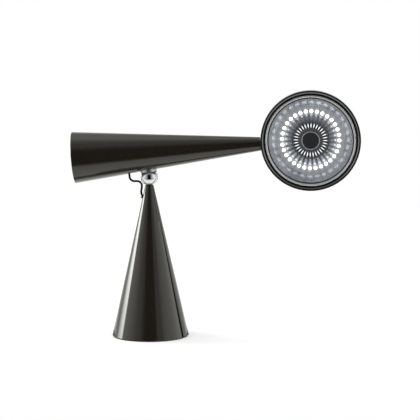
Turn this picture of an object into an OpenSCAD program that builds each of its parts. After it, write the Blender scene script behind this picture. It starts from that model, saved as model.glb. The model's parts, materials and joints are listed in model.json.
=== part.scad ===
// Task lamp with a round LED head. A tapered arm rides on a chromed ball above a conical base.
// The origin is the centre of the base where it stands. +Z is up, +X runs along the arm to the
// head, and the lit face looks along -Y. All lengths are in millimetres.

/* [Base] */
// Diameter of the conical base at its foot
base_d = 131; // [118:1:146]
// Height of the cone's top above the table
base_top = 259.9; // [240:0.1:290]
// Diameter of the cone at its top
neck_d = 14; // [13:0.5:16]
// Wall of the cone
base_wall = 2.5; // [2:0.1:3]
// Length of the solid neck that holds the bush
neck_len = 12.5; // [10:0.5:15]
// Thickness of the pad under the base
pad_t = 1.5; // [1:0.1:3]
// How far the pad's edge stands back from the cone's edge
pad_inset = 1.2; // [0.5:0.1:3]
// Thickness of the plate that closes the cone
plate_t = 3; // [2.5:0.1:5]
// Height of the cast weight inside the cone
ballast_h = 36; // [32:1:50]
// Cable bore through the middle of the weight
ballast_bore_d = 20; // [14:1:26]
// Diameter of the circle of screws in the plate
plate_circle_d = 90; // [76:1:94]
// Diameter of those screws
plate_screw_d = 4; // [3:0.5:5]
// Length of those screws
plate_screw_len = 14; // [10:1:18]

/* [Power] */
// Height of the power inlet at the back of the base
inlet_z = 20; // [18:1:24]
// Barrel of the inlet
inlet_d = 11; // [10:0.5:12]
// Collar of the inlet outside the cone
inlet_collar_d = 15; // [14:0.5:17]
// Thickness of that collar
inlet_collar_t = 1.2; // [0.8:0.1:2]
// Length of the barrel inside the cone
inlet_len = 14; // [12:0.5:17]
// Bore that the plug goes into
inlet_bore_d = 5.6; // [5:0.1:6.5]
// Pin in the middle of that bore
inlet_pin_d = 1.9; // [1.5:0.1:2.5]
// Width across flats of the nut behind the inlet
inlet_nut_af = 14; // [13:0.5:15]
// Thickness of that nut
inlet_nut_t = 2.5; // [2:0.1:3]
// Length of the driver board
board_len = 70; // [60:1:78]
// Width of the driver board
board_w = 34; // [28:1:40]
// Thickness of the driver board
board_t = 1.6; // [1:0.1:2.4]
// Height of the posts under the board
post_h = 4; // [3:0.5:8]
// Diameter of those posts
post_d = 7; // [6:0.5:9]
// Distance between the posts
post_span = 58; // [50:1:60]
// Diameter of the board's screws
board_screw_d = 3; // [2.5:0.5:3.5]
// Diameter of the coil on the board
coil_d = 13; // [10:0.5:15]
// Height of the coil
coil_h = 8; // [6:0.5:10]
// Diameter of the capacitor on the board
capacitor_d = 8; // [6:0.5:9]
// Height of the capacitor
capacitor_h = 12; // [9:0.5:14]
// Length of the transformer on the board
transformer_len = 12; // [9:0.5:14]
// Width of the transformer
transformer_w = 9; // [7:0.5:11]
// Height of the transformer
transformer_h = 10; // [7:0.5:12]
// Length of the chip on the board
chip_len = 12; // [8:0.5:14]
// Width of the chip
chip_w = 9; // [6:0.5:10]
// Height of the chip
chip_h = 3; // [1:0.5:4]

/* [Ball joint] */
// Diameter of the chromed ball
ball_d = 30; // [28:0.5:32]
// Diameter of the stud below the ball
stud_d = 6; // [5:0.5:6.5]
// Wall of the bush round the stud
bush_wall = 1.4; // [1:0.1:1.8]
// Thickness of the bush's flange
bush_flange_t = 1.5; // [1:0.1:2.5]
// Width of the bush's flange beyond its sleeve
bush_flange_w = 1.8; // [1:0.1:2]
// Thickness of the washer below the bush
stud_washer_t = 1.2; // [0.8:0.1:2]
// Width across flats of the nut on the stud
stud_nut_af = 10; // [9:0.5:11]
// Height of that nut
stud_nut_h = 4; // [3:0.5:5]
// How deep the ball sinks into the arm's underside
ball_sink = 3.5; // [2.5:0.1:4.5]
// Outer diameter of the ring round the ball
ring_d = 28; // [27.5:0.5:32]
// How far that ring stands below the arm
ring_drop = 2.2; // [1.5:0.1:3]
// Wall of the ring's sleeve inside the arm
sleeve_wall = 0.9; // [0.7:0.1:1.1]
// Outer diameter of the cup that lines the ring
cup_d = 23.6; // [23:0.1:24]
// Thinnest wall between the ball and the magnet
cup_floor = 0.7; // [0.5:0.1:1.2]
// Diameter of the magnet
magnet_d = 18; // [14:0.5:20]
// Height of the magnet
magnet_t = 6; // [5:0.5:9]
// Diameter of the magnet's stud
magnet_stud_d = 5; // [4:0.5:6]
// Width across flats of the nut on that stud
magnet_nut_af = 8; // [8:0.5:10]
// Height of that nut
magnet_nut_h = 4; // [3:0.5:5]
// Diameter of the block that the ring screws into
block_d = 34; // [32:1:40]
// Thickness of the block's roof above the magnet
block_roof = 5; // [4:0.5:7]

/* [Arm] */
// Length of the tapered arm
arm_len = 318; // [300:1:350]
// Diameter of the arm's wide end
arm_wide_d = 87.5; // [82:0.5:94]
// Diameter of the arm's tip
arm_tip_d = 23.3; // [22.5:0.1:26]
// Wall of the arm
arm_wall = 2; // [1.5:0.1:2.2]
// Length of the arm behind the ball
arm_back = 126; // [120:1:136]
// Rise of the arm at rest, in degrees
arm_tilt = 4.2; // [0:0.1:8]
// Thickness of the cap in the wide end
cap_t = 4; // [3:0.5:6]
// How far the cap sits inside the rim
cap_recess = 1; // [0.5:0.1:3]
// Depth of the shallow dish in the cap
cap_dish = 1.5; // [0.5:0.1:2]
// Width of the cap's raised edge
cap_edge = 5; // [3:0.5:10]
// Length of the counterweight behind the cap
weight_len = 34; // [28:1:42]
// Diameter of the screw through the cap
cap_screw_d = 5; // [4:0.5:6]
// Length of that screw
cap_screw_len = 24; // [18:1:28]

/* [Head swivel] */
// Diameter of the hollow spindle
spindle_d = 12; // [11:0.5:13]
// Cable bore through the spindle
spindle_bore_d = 6.4; // [5:0.2:7]
// Length of the plug in the arm's tip
plug_len = 16; // [12:1:20]
// Thickness of the collar between the arm and the head
collar_t = 1.5; // [1:0.1:3]
// Diameter of the spindle's flange inside the head
flange_d = 16; // [15:0.5:18]
// Thickness of that flange
flange_t = 2.5; // [2:0.1:3.5]
// Thickness of the washer behind the plug
spindle_washer_t = 1.2; // [0.8:0.1:2]
// Width across flats of the nut on the spindle
spindle_nut_af = 16; // [15.5:0.5:17]
// Height of that nut
spindle_nut_h = 5; // [4:0.5:7]

/* [Head] */
// Diameter of the round head
head_d = 169; // [166:1:182]
// Distance from the arm's axis to the front of the rim
head_front = 18.5; // [18:0.5:22]
// Distance from the arm's axis to the back of the head
head_back = 18; // [17.5:0.5:22]
// Wall of the head's shell
shell_wall = 1.4; // [1:0.1:1.8]
// Radius of the rounding at the back edge
back_round = 8; // [6:0.5:12]
// Radius of the bead round the front edge
bead_r = 1.5; // [1.2:0.1:1.8]
// How far that bead stands out from the side
bead_proud = 0.3; // [0:0.1:0.6]
// Diameter of the cover on the back
cover_d = 88; // [80:1:100]
// Thickness of the cover
cover_t = 1.6; // [1.2:0.1:3]
// Width of the cover's overlap round the opening in the shell
cover_lap = 6; // [5:0.5:8]
// Diameter of the cover's screws
cover_screw_d = 2.5; // [2:0.5:3]
// Number of vent slots in the cover
vent_count = 16; // [8:1:20]
// Inner end of the vent slots, as a diameter
vent_in_d = 32; // [28:1:40]
// Outer end of the vent slots, as a diameter
vent_out_d = 62; // [56:1:66]
// Width of a vent slot
vent_w = 2.4; // [2:0.1:3]

/* [Front rings] */
// Width of the dark band inside the rim
bezel_w = 5.7; // [4.5:0.1:7]
// Distance from the band's outer edge to the top of its slope
bezel_lip = 1.1; // [0.5:0.1:1.5]
// Width of the slope at the outer edge of the band
bezel_slope_w = 1.7; // [0.8:0.1:2.4]
// Drop of that slope
bezel_slope_h = 1.4; // [0.6:0.1:1.8]
// Fall of the band from there to the bright ring
bezel_fall = 0.8; // [0.2:0.1:1]
// Depth from the rim to the shelf that holds the reflector
shelf_depth = 6.5; // [6:0.1:8]
// Thickness of that shelf
shelf_t = 1.4; // [1:0.1:2]
// Width of the bright ring
trim_w = 3.6; // [3:0.1:5]
// Height of the bright ring
trim_h = 3.3; // [2.6:0.1:3.8]
// Width of the reflector's flange inside the bright ring
mouth_step = 2.6; // [1:0.1:3.5]
// How far the shelf's inner edge stands back from the reflector's mouth
shelf_step = 0.8; // [0.5:0.1:1.2]
// Distance of the ring's two screws from its outer edge
trim_screw_in = 0.9; // [0.8:0.1:2]
// Metal left in the ring under the heads of those screws
trim_seat = 1; // [0.6:0.1:1.4]
// How far those heads lie below the ring's top
trim_sink = 0.5; // [0.3:0.1:1]
// Diameter of the heads of the ring's two screws
trim_screw_head_d = 2.4; // [2:0.1:3]
// Diameter of the shanks of those screws
trim_screw_d = 1.6; // [1.2:0.1:1.8]

/* [Light] */
// Depth from the rim to the floor of the reflector
floor_depth = 28; // [27:0.1:28.6]
// Sheet thickness of the reflector
reflector_t = 1.2; // [0.8:0.1:1.4]
// Outer diameter of the reflector's floor
floor_out_d = 115; // [111:1:120]
// Inner diameter of the reflector's floor
floor_in_d = 86; // [82:1:88]
// How far the reflector's inner cone ends below the hub's edge
cone_drop = 0.2; // [0:0.1:1]
// Number of light-emitting diodes
led_count = 32; // [16:1:34]
// Diameter of the circle that they stand on
led_circle_d = 97.4; // [95:0.2:101]
// Diameter of one diode's housing
led_d = 7; // [6:0.2:8]
// Height of that housing above the board
led_h = 1.8; // [1.4:0.1:2.4]
// Diameter of the clear dome on it
dome_d = 6.2; // [5:0.2:7]
// Height of that dome
dome_h = 2; // [1.4:0.1:2.6]
// Thickness of the board under the diodes
led_board_t = 1.6; // [1:0.1:2]
// Diameter of the plate that takes the heat
heat_plate_d = 124; // [120:1:140]
// Thickness of that plate
heat_plate_t = 2; // [1.5:0.1:2.4]

/* [Hub and button] */
// Diameter of the finned hub
hub_d = 61.8; // [60:0.2:66]
// Depth from the rim to the hub's raised edge
hub_edge_depth = 13.7; // [12:0.1:15]
// Depth from the rim to the tops of the fins
fin_depth = 16; // [15.5:0.1:17.5]
// Depth of the slots between the fins
fin_h = 3.5; // [2.5:0.1:5]
// Width of the hub's raised edge
hub_edge_w = 2.5; // [2.4:0.1:3.5]
// Wall of the hub
hub_wall = 2; // [1.5:0.1:2.2]
// Margin of the fins' floor beyond the ends of the slots
slot_margin = 0.2; // [0.1:0.05:0.6]
// Width of a slot at its inner end
slot_in_w = 1.6; // [1:0.1:1.8]
// Width of a slot at its outer end
slot_out_w = 2.3; // [1.8:0.1:2.8]
// Depth from the rim to the front of the boss round the button
boss_depth = 10.1; // [9:0.1:12]
// Diameter of that boss
boss_d = 34.4; // [34:0.2:38]
// Width of the slope from the boss down to the fins
boss_slope_w = 3.9; // [2.5:0.1:4.5]
// Thickness of the diffuser behind the slots
diffuser_t = 1.5; // [1:0.1:2.5]
// Diameter of the bright ring round the button
button_ring_d = 31.4; // [31:0.2:33]
// Height of that ring
button_ring_h = 3; // [2:0.1:4]
// Depth of that ring's seat below the front of the boss
ring_seat_depth = 2.4; // [1.6:0.1:3.2]
// Diameter of the push button
button_d = 27.6; // [24:0.2:28]
// Thickness of the button's cap
button_t = 4; // [3:0.1:5]
// Rounding of the cap's front edge
button_round = 0.8; // [0.4:0.1:1.5]
// How far the button goes in
button_travel = 1.5; // [1:0.1:2]
// Diameter of the button's stem
stem_d = 8; // [6:0.5:10]
// Length of the button's stem
stem_len = 6; // [4:0.5:7]
// Diameter of the switch behind the button
switch_d = 18; // [16:0.5:24]

/* [Link lead] */
// Diameter of the lead between the arm and the base
lead_d = 3.6; // [3:0.1:4]
// Distance behind the ball where the lead leaves the arm
lead_back = 33; // [32.5:0.1:33.5]
// Height where the lead enters the base
lead_in_z = 240; // [239.5:0.1:240.5]
// Lean of the hole in the base from upright, in degrees
lead_lean = 32; // [30:0.5:34]
// Wall of a grommet round the lead
grommet_wall = 0.8; // [0.6:0.1:1.2]
// Width of a grommet's flange beyond its sleeve
grommet_lip = 0.7; // [0.4:0.1:1.2]
// Height of a grommet's flange
grommet_h = 1.4; // [1:0.1:2]

/* [Fits] */
// Radial clearance of a turning pin in its bore
run_fit = 0.05; // [0.02:0.01:0.1]
// Clearance of a piece that is pushed or dropped into its seat
seat_fit = 0.1; // [0.05:0.01:0.15]
// Gap between moving faces that don't carry the load
move_gap = 0.3; // [0.25:0.05:0.4]
// Gap round a cast weight inside its cone
cast_gap = 0.4; // [0.2:0.1:0.6]
// Gap between the reflector and the hub, and between the bright ring and the dark band
ring_gap = 0.4; // [0.2:0.1:0.6]

/* [Hidden] */
$fn = 96;
// How far a cut runs past the face that it goes through
over = 1;

paint = "#3b3935";
dark_metal = "#2a2927";
bright_metal = "#c9cccb";
steel = "#8f9396";
iron = "#4b4b4d";
rubber = "#161616";
black_plastic = "#1c1c1e";
board_green = "#27563a";
white_plastic = "#f0f0ea";
brass = "#b59a55";

// Cone of the base: half-angle, and radius outside and inside at height z
plate_z = pad_t;
ballast_z = plate_z + plate_t;
base_angle = atan((base_d - neck_d) / 2 / (base_top - pad_t));
base_wall_flat = base_wall / cos(base_angle);
function base_out(z) = neck_d / 2 + (base_top - z) * tan(base_angle);
function base_in(z) = base_out(z) - base_wall_flat;
neck_z = base_top - neck_len;
board_z = ballast_z + ballast_h + post_h;

// Ball and its stud
ball_r = ball_d / 2;
seat_r = ball_r + move_gap;
ball_z = base_top + sqrt(pow(seat_r, 2) - pow(neck_d / 2, 2));
stud_r = stud_d / 2;
bush_r = stud_r + run_fit + bush_wall;
bush_low = neck_z - bush_flange_t;
washer_top = bush_low - move_gap;
nut_top = washer_top - stud_washer_t;
stud_low = nut_top - stud_nut_h - 0.6;

// Cone of the arm, measured along its axis from the point above the ball
arm_front = arm_len - arm_back;
arm_angle = atan((arm_wide_d - arm_tip_d) / 2 / arm_len);
arm_wall_flat = arm_wall / cos(arm_angle);
function arm_out(x) = arm_wide_d / 2 - (x + arm_back) * tan(arm_angle);
function arm_in(x) = arm_out(x) - arm_wall_flat;

// Socket under the arm, measured square to the arm's underside from the centre of the ball
skin = ball_r - ball_sink;
arm_lift = arm_out(0) + skin / cos(arm_angle);
ring_low = skin - ring_drop;
cup_r = cup_d / 2;
sleeve_r = cup_r + seat_fit + sleeve_wall;
magnet_low = seat_r + cup_floor;
magnet_top = magnet_low + magnet_t;
block_top = magnet_top + seat_fit + block_roof;
sleeve_top = magnet_top - 2;
cup_low = ring_low + 0.9;

// Head, measured forwards from the arm's axis
head_r = head_d / 2;
shell_in = head_r - shell_wall;
head_x = arm_front + collar_t + move_gap + head_r;
shelf = head_front - shelf_depth;
bezel_out = shell_in - seat_fit;
bezel_in = bezel_out - bezel_w;
trim_out = bezel_in - ring_gap;
trim_in = trim_out - trim_w;
mouth_r = trim_in - mouth_step;
trim_low = shelf + reflector_t;
trim_screw_r = trim_out - trim_screw_in;
trim_screw_top = trim_low + trim_h - trim_sink;
floor_f = head_front - floor_depth;
board_top = floor_f - reflector_t;
board_low = board_top - led_board_t;
plate_low = board_low - heat_plate_t;
back_in = shell_wall - head_back;
hub_r = hub_d / 2;
reflector_in = hub_r + ring_gap;
hub_edge = head_front - hub_edge_depth;
fin_top = head_front - fin_depth;
fin_low = fin_top - fin_h;
boss_top = head_front - boss_depth;
boss_r = boss_d / 2;
ring_seat = boss_top - ring_seat_depth;
slot_in_r = boss_r + boss_slope_w + slot_margin + slot_in_w / 2;
slot_out_r = hub_r - hub_edge_w - slot_margin - slot_out_w / 2;
button_r = button_d / 2;
button_hole_r = button_r + move_gap;
button_low = boss_top - button_t;
stem_low = button_low - stem_len;
switch_top = button_low - button_travel - 0.8;
cover_open_r = cover_d / 2 - cover_lap;
cover_screw_r = cover_d / 2 - cover_lap / 2;

// Route of the link lead through the plane of the arm, as [x, z] points from the arm to the base
lead_route = [
  [-35.5, 284.5], [-34.5, 279.5], [-34, 276], [-33.5, 272.5], [-32, 269.5], [-29.5, 267.5],
  [-26, 266.5], [-20.5, 266.5], [-17, 265.5], [-14.5, 263.5], [-13, 260], [-13, 257],
  [-13.5, 253.5], [-14, 250], [-14, 246.5], [-13, 243], [-11.5, 240], [-9, 236]
];
lead_sides = 8;
grommet_bore_r = lead_d / 2 + 0.2;
grommet_r = grommet_bore_r + grommet_wall;

// Places that several pieces share
module in_arm() {
  translate([0, 0, ball_z]) rotate([0, -arm_tilt, 0]) children();
}

// Z runs along the arm to the head, from the point above the ball
module on_arm_axis() {
  in_arm() translate([0, 0, arm_lift]) rotate([0, 90, 0]) children();
}

// Z runs square to the arm's underside, up from the centre of the ball
module in_socket() {
  in_arm() rotate([0, -arm_angle, 0]) children();
}

// Z runs forwards through the middle of the head, and X away from the arm
module on_head() {
  in_arm() translate([head_x, 0, arm_lift]) rotate([90, 0, 0]) children();
}

// Z runs out of the base at the power inlet
module at_inlet() {
  translate([0, base_out(inlet_z), inlet_z]) rotate([base_angle - 90, 0, 0]) children();
}

// Z runs out of the base along the lead
module at_lower_lead() {
  translate([-base_out(lead_in_z), 0, lead_in_z]) rotate([0, -lead_lean, 0]) children();
}

// Z runs into the arm along the lead, from the level of the ball's centre
module at_upper_lead() {
  in_socket() translate([-lead_back, 0, 0]) children();
}

module round_bar(r, low, high) {
  translate([0, 0, low]) cylinder(r = r, h = high - low);
}

module tube(r_out, r_in, low, high) {
  difference() {
    round_bar(r_out, low, high);
    round_bar(r_in, low - over, high + over);
  }
}

module hex_nut(across_flats, bore_r, low, high) {
  difference() {
    translate([0, 0, low]) cylinder(d = across_flats / cos(30), h = high - low, $fn = 6);
    round_bar(bore_r, low - over, high + over);
  }
}

// Countersunk screw along Z with its flat head at z = 0 and its shank below
module flat_screw(d, len) {
  round_bar(d / 2, -len, 0);
  translate([0, 0, -d / 2]) cylinder(r1 = d / 2, r2 = d, h = d / 2);
}

// Hole for such a screw, run out past the face that its head lies flush with
module flat_screw_hole(d, len) {
  flat_screw(d + 2 * seat_fit, len);
  round_bar(d + 2 * seat_fit, 0, over);
}

// Copies on a circle, the first of them half a step from the X axis
module on_circle(count, r) {
  for (i = [0 : count - 1]) rotate([0, 0, (i + 0.5) * 360 / count]) translate([r, 0, 0]) children();
}

module base_solid() {
  rotate_extrude() polygon([[0, pad_t], [base_d / 2, pad_t], [neck_d / 2, base_top], [0, base_top]]);
}

module arm_solid() {
  rotate_extrude() polygon([
    [0, -arm_back], [arm_wide_d / 2, -arm_back], [arm_tip_d / 2, arm_front], [0, arm_front]
  ]);
}

// Space inside the arm, drawn in from the wall by a clearance
module arm_hollow(gap) {
  rotate_extrude() polygon([
    [0, -arm_back], [arm_in(-arm_back) - gap, -arm_back], [arm_in(arm_front) - gap, arm_front],
    [0, arm_front]
  ]);
}

module base_cone() {
  color(paint) difference() {
    rotate_extrude() polygon([
      [base_in(pad_t), pad_t], [base_d / 2, pad_t], [neck_d / 2, base_top],
      [bush_r + seat_fit, base_top], [bush_r + seat_fit, neck_z], [base_in(neck_z), neck_z]
    ]);
    translate([0, 0, ball_z]) sphere(r = seat_r);
    at_inlet() round_bar(inlet_d / 2 + seat_fit, -10, over);
    at_lower_lead() round_bar(grommet_r + seat_fit, -8, 8);
  }
}

module base_plate() {
  color(steel) difference() {
    round_bar(base_in(ballast_z) - seat_fit, plate_z, ballast_z);
    at_plate_screws() flat_screw_hole(plate_screw_d, plate_t + over);
  }
}

module foot_pad() {
  color(rubber) round_bar(base_d / 2 - pad_inset, 0, pad_t);
}

// Three screws up through the plate, their heads flush with its underside
module at_plate_screws() {
  on_circle(3, plate_circle_d / 2) translate([0, 0, plate_z]) rotate([180, 0, 0]) children();
}

module at_posts() {
  for (side = [-1, 1]) translate([side * post_span / 2, 0, 0]) children();
}

module ballast() {
  top = ballast_z + ballast_h;
  color(iron) difference() {
    union() {
      rotate_extrude() polygon([
        [ballast_bore_d / 2, ballast_z], [base_in(ballast_z) - cast_gap, ballast_z],
        [base_in(top) - cast_gap, top], [ballast_bore_d / 2, top]
      ]);
      at_posts() round_bar(post_d / 2, top - over, board_z);
    }
    at_posts() round_bar(board_screw_d / 2 + run_fit, top - 4, board_z + over);
    at_plate_screws() round_bar(plate_screw_d / 2 + run_fit, -plate_screw_len - over, over);
    at_inlet() round_bar(inlet_nut_af / 2 + 2, -inlet_len - 8, over);
    translate([0, 0, inlet_z]) rotate([-90, 0, 0]) round_bar(4, 0, base_out(inlet_z) - inlet_len);
  }
}

module plate_screws() {
  color(steel) at_plate_screws() difference() {
    flat_screw(plate_screw_d, plate_screw_len);
    translate([0, 0, -0.9]) cylinder(d = plate_screw_d * 0.7, h = over + 0.9, $fn = 6);
  }
}

module neck_bush() {
  color(brass) difference() {
    rotate_extrude() polygon([
      [stud_r + run_fit, bush_low], [bush_r + bush_flange_w, bush_low],
      [bush_r + bush_flange_w, neck_z], [bush_r, neck_z], [bush_r, base_top],
      [stud_r + run_fit, base_top]
    ]);
    translate([0, 0, ball_z]) sphere(r = seat_r);
  }
}

module lower_grommet() {
  color(rubber) difference() {
    union() {
      difference() {
        at_lower_lead() round_bar(grommet_r + grommet_lip, -4, grommet_h + 1);
        base_solid();
      }
      at_lower_lead() round_bar(grommet_r, -6.5, grommet_h + 1);
    }
    at_lower_lead() round_bar(grommet_bore_r, -8, 8);
  }
}

module power_inlet() {
  color(black_plastic) difference() {
    union() {
      difference() {
        at_inlet() round_bar(inlet_collar_d / 2, -2, inlet_collar_t);
        base_solid();
      }
      at_inlet() round_bar(inlet_d / 2, -inlet_len, inlet_collar_t);
      at_inlet() for (side = [-1, 1]) {
        translate([side * 2.5 - 0.9, -0.4, -inlet_len - 3]) cube([1.8, 0.8, 3.5]);
      }
    }
    at_inlet() tube(inlet_bore_d / 2, inlet_pin_d / 2, -9, inlet_collar_t + over);
    at_inlet() round_bar(inlet_bore_d / 2 - 0.1, -0.5, inlet_collar_t + over);
  }
}

module inlet_nut() {
  top = -base_wall - 0.8;
  color(steel) at_inlet() hex_nut(inlet_nut_af, inlet_d / 2 + run_fit, top - inlet_nut_t, top);
}

// A coil, a capacitor and a transformer stand along one long edge, and a chip lies along the other
module driver_board() {
  low = board_t - 0.1;
  edge = board_w / 2 - 2;
  color(board_green) translate([0, 0, board_z]) difference() {
    union() {
      translate([-board_len / 2, -board_w / 2, 0]) cube([board_len, board_w, board_t]);
      translate([-coil_d, edge - coil_d / 2, 0]) round_bar(coil_d / 2, low, board_t + coil_h);
      translate([capacitor_d / 2, edge - capacitor_d / 2, 0])
        round_bar(capacitor_d / 2, low, board_t + capacitor_h);
      translate([capacitor_d + 3, edge - transformer_len, low])
        cube([transformer_w, transformer_len, board_t - low + transformer_h]);
      translate([-chip_len, -edge, low]) cube([chip_len, chip_w, board_t - low + chip_h]);
    }
    at_posts() round_bar(board_screw_d / 2 + seat_fit, -over, board_t + over);
  }
}

module board_screws() {
  color(steel) at_posts() translate([0, 0, board_z + board_t]) {
    round_bar(board_screw_d / 2, -board_t - post_h, 0);
    round_bar(board_screw_d * 0.9, 0, board_screw_d * 0.6);
  }
}

// Unit vectors along the lead at point i, and the ring of points round it
function lead_way(i) =
  let (a = lead_route[max(i - 1, 0)], b = lead_route[min(i + 1, len(lead_route) - 1)])
  (b - a) / norm(b - a);
function lead_ring(i) =
  let (p = lead_route[i], t = lead_way(i))
  [for (k = [0 : lead_sides - 1])
    let (a = (k + 0.5) * 360 / lead_sides, across = cos(a) * lead_d / 2, side = sin(a) * lead_d / 2)
    [p[0] - t[1] * across, side, p[1] + t[0] * across]];

module link_lead() {
  rings = len(lead_route);
  points = [for (i = [0 : rings - 1]) each lead_ring(i)];
  walls = [
    for (i = [0 : rings - 2], k = [0 : lead_sides - 1])
      let (n = (k + 1) % lead_sides, a = i * lead_sides)
      each [[a + k, a + n, a + lead_sides + n], [a + k, a + lead_sides + n, a + lead_sides + k]]
  ];
  last = (rings - 1) * lead_sides;
  ends = [
    [for (k = [lead_sides - 1 : -1 : 0]) k], [for (k = [0 : lead_sides - 1]) last + k]
  ];
  color(rubber) polyhedron(points = points, faces = concat(walls, ends));
}

module ball_stud() {
  color(bright_metal) {
    translate([0, 0, ball_z]) sphere(r = ball_r);
    round_bar(stud_r, stud_low, ball_z);
  }
}

module stud_washer() {
  color(steel) tube(bush_r + bush_flange_w * 0.5, stud_r + run_fit, nut_top, washer_top);
}

module stud_nut() {
  color(steel) hex_nut(stud_nut_af, stud_r + 0.02, nut_top - stud_nut_h, nut_top);
}

module arm_cone() {
  color(paint) difference() {
    on_arm_axis() rotate_extrude() polygon([
      [arm_in(-arm_back), -arm_back], [arm_wide_d / 2, -arm_back], [arm_tip_d / 2, arm_front],
      [arm_in(arm_front), arm_front]
    ]);
    in_socket() round_bar(sleeve_r + run_fit, 0, magnet_top);
    at_upper_lead() round_bar(grommet_r + seat_fit, 0, skin + 6);
  }
}

module end_cap() {
  low = cap_recess - arm_back;
  face_r = arm_in(low) - seat_fit;
  color(paint) on_arm_axis() difference() {
    rotate_extrude() polygon([
      [0, low + cap_dish], [face_r - cap_edge - 4, low + cap_dish], [face_r - cap_edge, low],
      [face_r, low], [arm_in(low + cap_t) - seat_fit, low + cap_t], [0, low + cap_t]
    ]);
    translate([0, 0, low + cap_dish]) rotate([180, 0, 0])
      flat_screw_hole(cap_screw_d, cap_t + over);
  }
}

module cap_screw() {
  color(steel) on_arm_axis() translate([0, 0, cap_recess + cap_dish - arm_back]) rotate([180, 0, 0])
    difference() {
      flat_screw(cap_screw_d, cap_screw_len);
      translate([0, 0, -1.4]) cylinder(d = cap_screw_d * 0.7, h = over + 1.4, $fn = 6);
    }
}

module counterweight() {
  low = cap_recess + cap_t - arm_back;
  high = low + weight_len;
  color(iron) on_arm_axis() rotate_extrude() polygon([
    [cap_screw_d / 2 + run_fit, low], [arm_in(low) - cast_gap, low], [arm_in(high) - cast_gap, high],
    [cap_screw_d / 2 + run_fit, high]
  ]);
}

module socket_ring() {
  color(bright_metal) difference() {
    union() {
      difference() {
        in_socket() round_bar(ring_d / 2, ring_low, skin + 6);
        on_arm_axis() arm_solid();
      }
      in_socket() round_bar(sleeve_r, ring_low, sleeve_top);
    }
    in_socket() round_bar(cup_r + seat_fit, ring_low - over, sleeve_top + over);
    in_socket() sphere(r = seat_r);
  }
}

module socket_cup() {
  color(black_plastic) in_socket() difference() {
    round_bar(cup_r, cup_low, magnet_top);
    sphere(r = seat_r);
    round_bar(magnet_d / 2 + seat_fit, magnet_low, magnet_top + over);
  }
}

module magnet() {
  color(steel) in_socket() {
    round_bar(magnet_d / 2, magnet_low, magnet_top);
    round_bar(magnet_stud_d / 2, magnet_top - over, block_top + magnet_nut_h + 1);
  }
}

module magnet_nut() {
  color(steel) in_socket()
    hex_nut(magnet_nut_af, magnet_stud_d / 2 + 0.02, block_top, block_top + magnet_nut_h);
}

module saddle_block() {
  color(steel) difference() {
    intersection() {
      in_socket() round_bar(block_d / 2, skin, block_top);
      on_arm_axis() arm_hollow(seat_fit);
    }
    in_socket() round_bar(sleeve_r + seat_fit, 0, magnet_top + seat_fit);
    in_socket() round_bar(magnet_stud_d / 2 + run_fit, 0, block_top + over);
  }
}

module upper_grommet() {
  color(rubber) difference() {
    union() {
      difference() {
        at_upper_lead() round_bar(grommet_r + grommet_lip, skin - grommet_h, skin + 3);
        on_arm_axis() arm_solid();
      }
      at_upper_lead() round_bar(grommet_r, skin - grommet_h, skin + arm_wall + 1);
    }
    at_upper_lead() round_bar(grommet_bore_r, 0, skin + 8);
  }
}

module tip_plug() {
  low = arm_front - plug_len;
  color(brass) on_arm_axis() rotate_extrude() polygon([
    [spindle_d / 2 + run_fit, low], [arm_in(low) - run_fit, low],
    [arm_in(arm_front) - run_fit, arm_front], [spindle_d / 2 + run_fit, arm_front]
  ]);
}

module tip_collar() {
  color(bright_metal) on_arm_axis()
    tube(arm_tip_d / 2, spindle_d / 2 + run_fit, arm_front, arm_front + collar_t);
}

module swivel_spindle() {
  wall_x = head_x - shell_in;
  low = arm_front - plug_len - move_gap - spindle_washer_t - spindle_nut_h - 1;
  color(steel) difference() {
    union() {
      on_arm_axis() round_bar(spindle_d / 2, low, wall_x + flange_t);
      intersection() {
        on_arm_axis() round_bar(flange_d / 2, wall_x - over, wall_x + flange_t);
        on_head() round_bar(shell_in - run_fit, -flange_d, flange_d);
      }
    }
    on_arm_axis() round_bar(spindle_bore_d / 2, low - over, wall_x + flange_t + over);
  }
}

module spindle_washer() {
  high = arm_front - plug_len - move_gap;
  color(steel) on_arm_axis()
    tube(spindle_nut_af / 2, spindle_d / 2 + run_fit, high - spindle_washer_t, high);
}

module spindle_nut() {
  high = arm_front - plug_len - move_gap - spindle_washer_t;
  color(steel) on_arm_axis()
    hex_nut(spindle_nut_af, spindle_d / 2 + 0.02, high - spindle_nut_h, high);
}

// Half section of the head as a solid drum with a rounded back edge, drawn in by a wall
module drum_section(inset, front) {
  r = head_r - inset;
  low = inset - head_back;
  round_r = back_round - inset;
  translate([0, low]) square([r - round_r, front - low]);
  translate([0, low + round_r]) square([r, front - low - round_r]);
  translate([r - round_r, low + round_r]) circle(r = round_r);
}

module head_shell() {
  color(paint) difference() {
    on_head() rotate_extrude() {
      difference() {
        drum_section(0, head_front - bead_r);
        drum_section(shell_wall, head_front + over);
        translate([-over, -head_back - over]) square([cover_open_r + over, head_back]);
      }
      translate([head_r + bead_proud - bead_r, head_front - bead_r]) circle(r = bead_r);
    }
    on_arm_axis() round_bar(spindle_d / 2 + run_fit, arm_front, head_x - shell_in + 2);
    on_head() at_cover_screws() round_bar(cover_screw_d / 2 + run_fit, -over, shell_wall + over);
  }
}

module at_cover_screws() {
  on_circle(3, cover_screw_r) translate([0, 0, -head_back]) children();
}

module slot_2d(r_in, r_out, w_in, w_out) {
  polygon([[r_in, -w_in / 2], [r_out, -w_out / 2], [r_out, w_out / 2], [r_in, w_in / 2]]);
  translate([r_in, 0]) circle(d = w_in);
  translate([r_out, 0]) circle(d = w_out);
}

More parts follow.
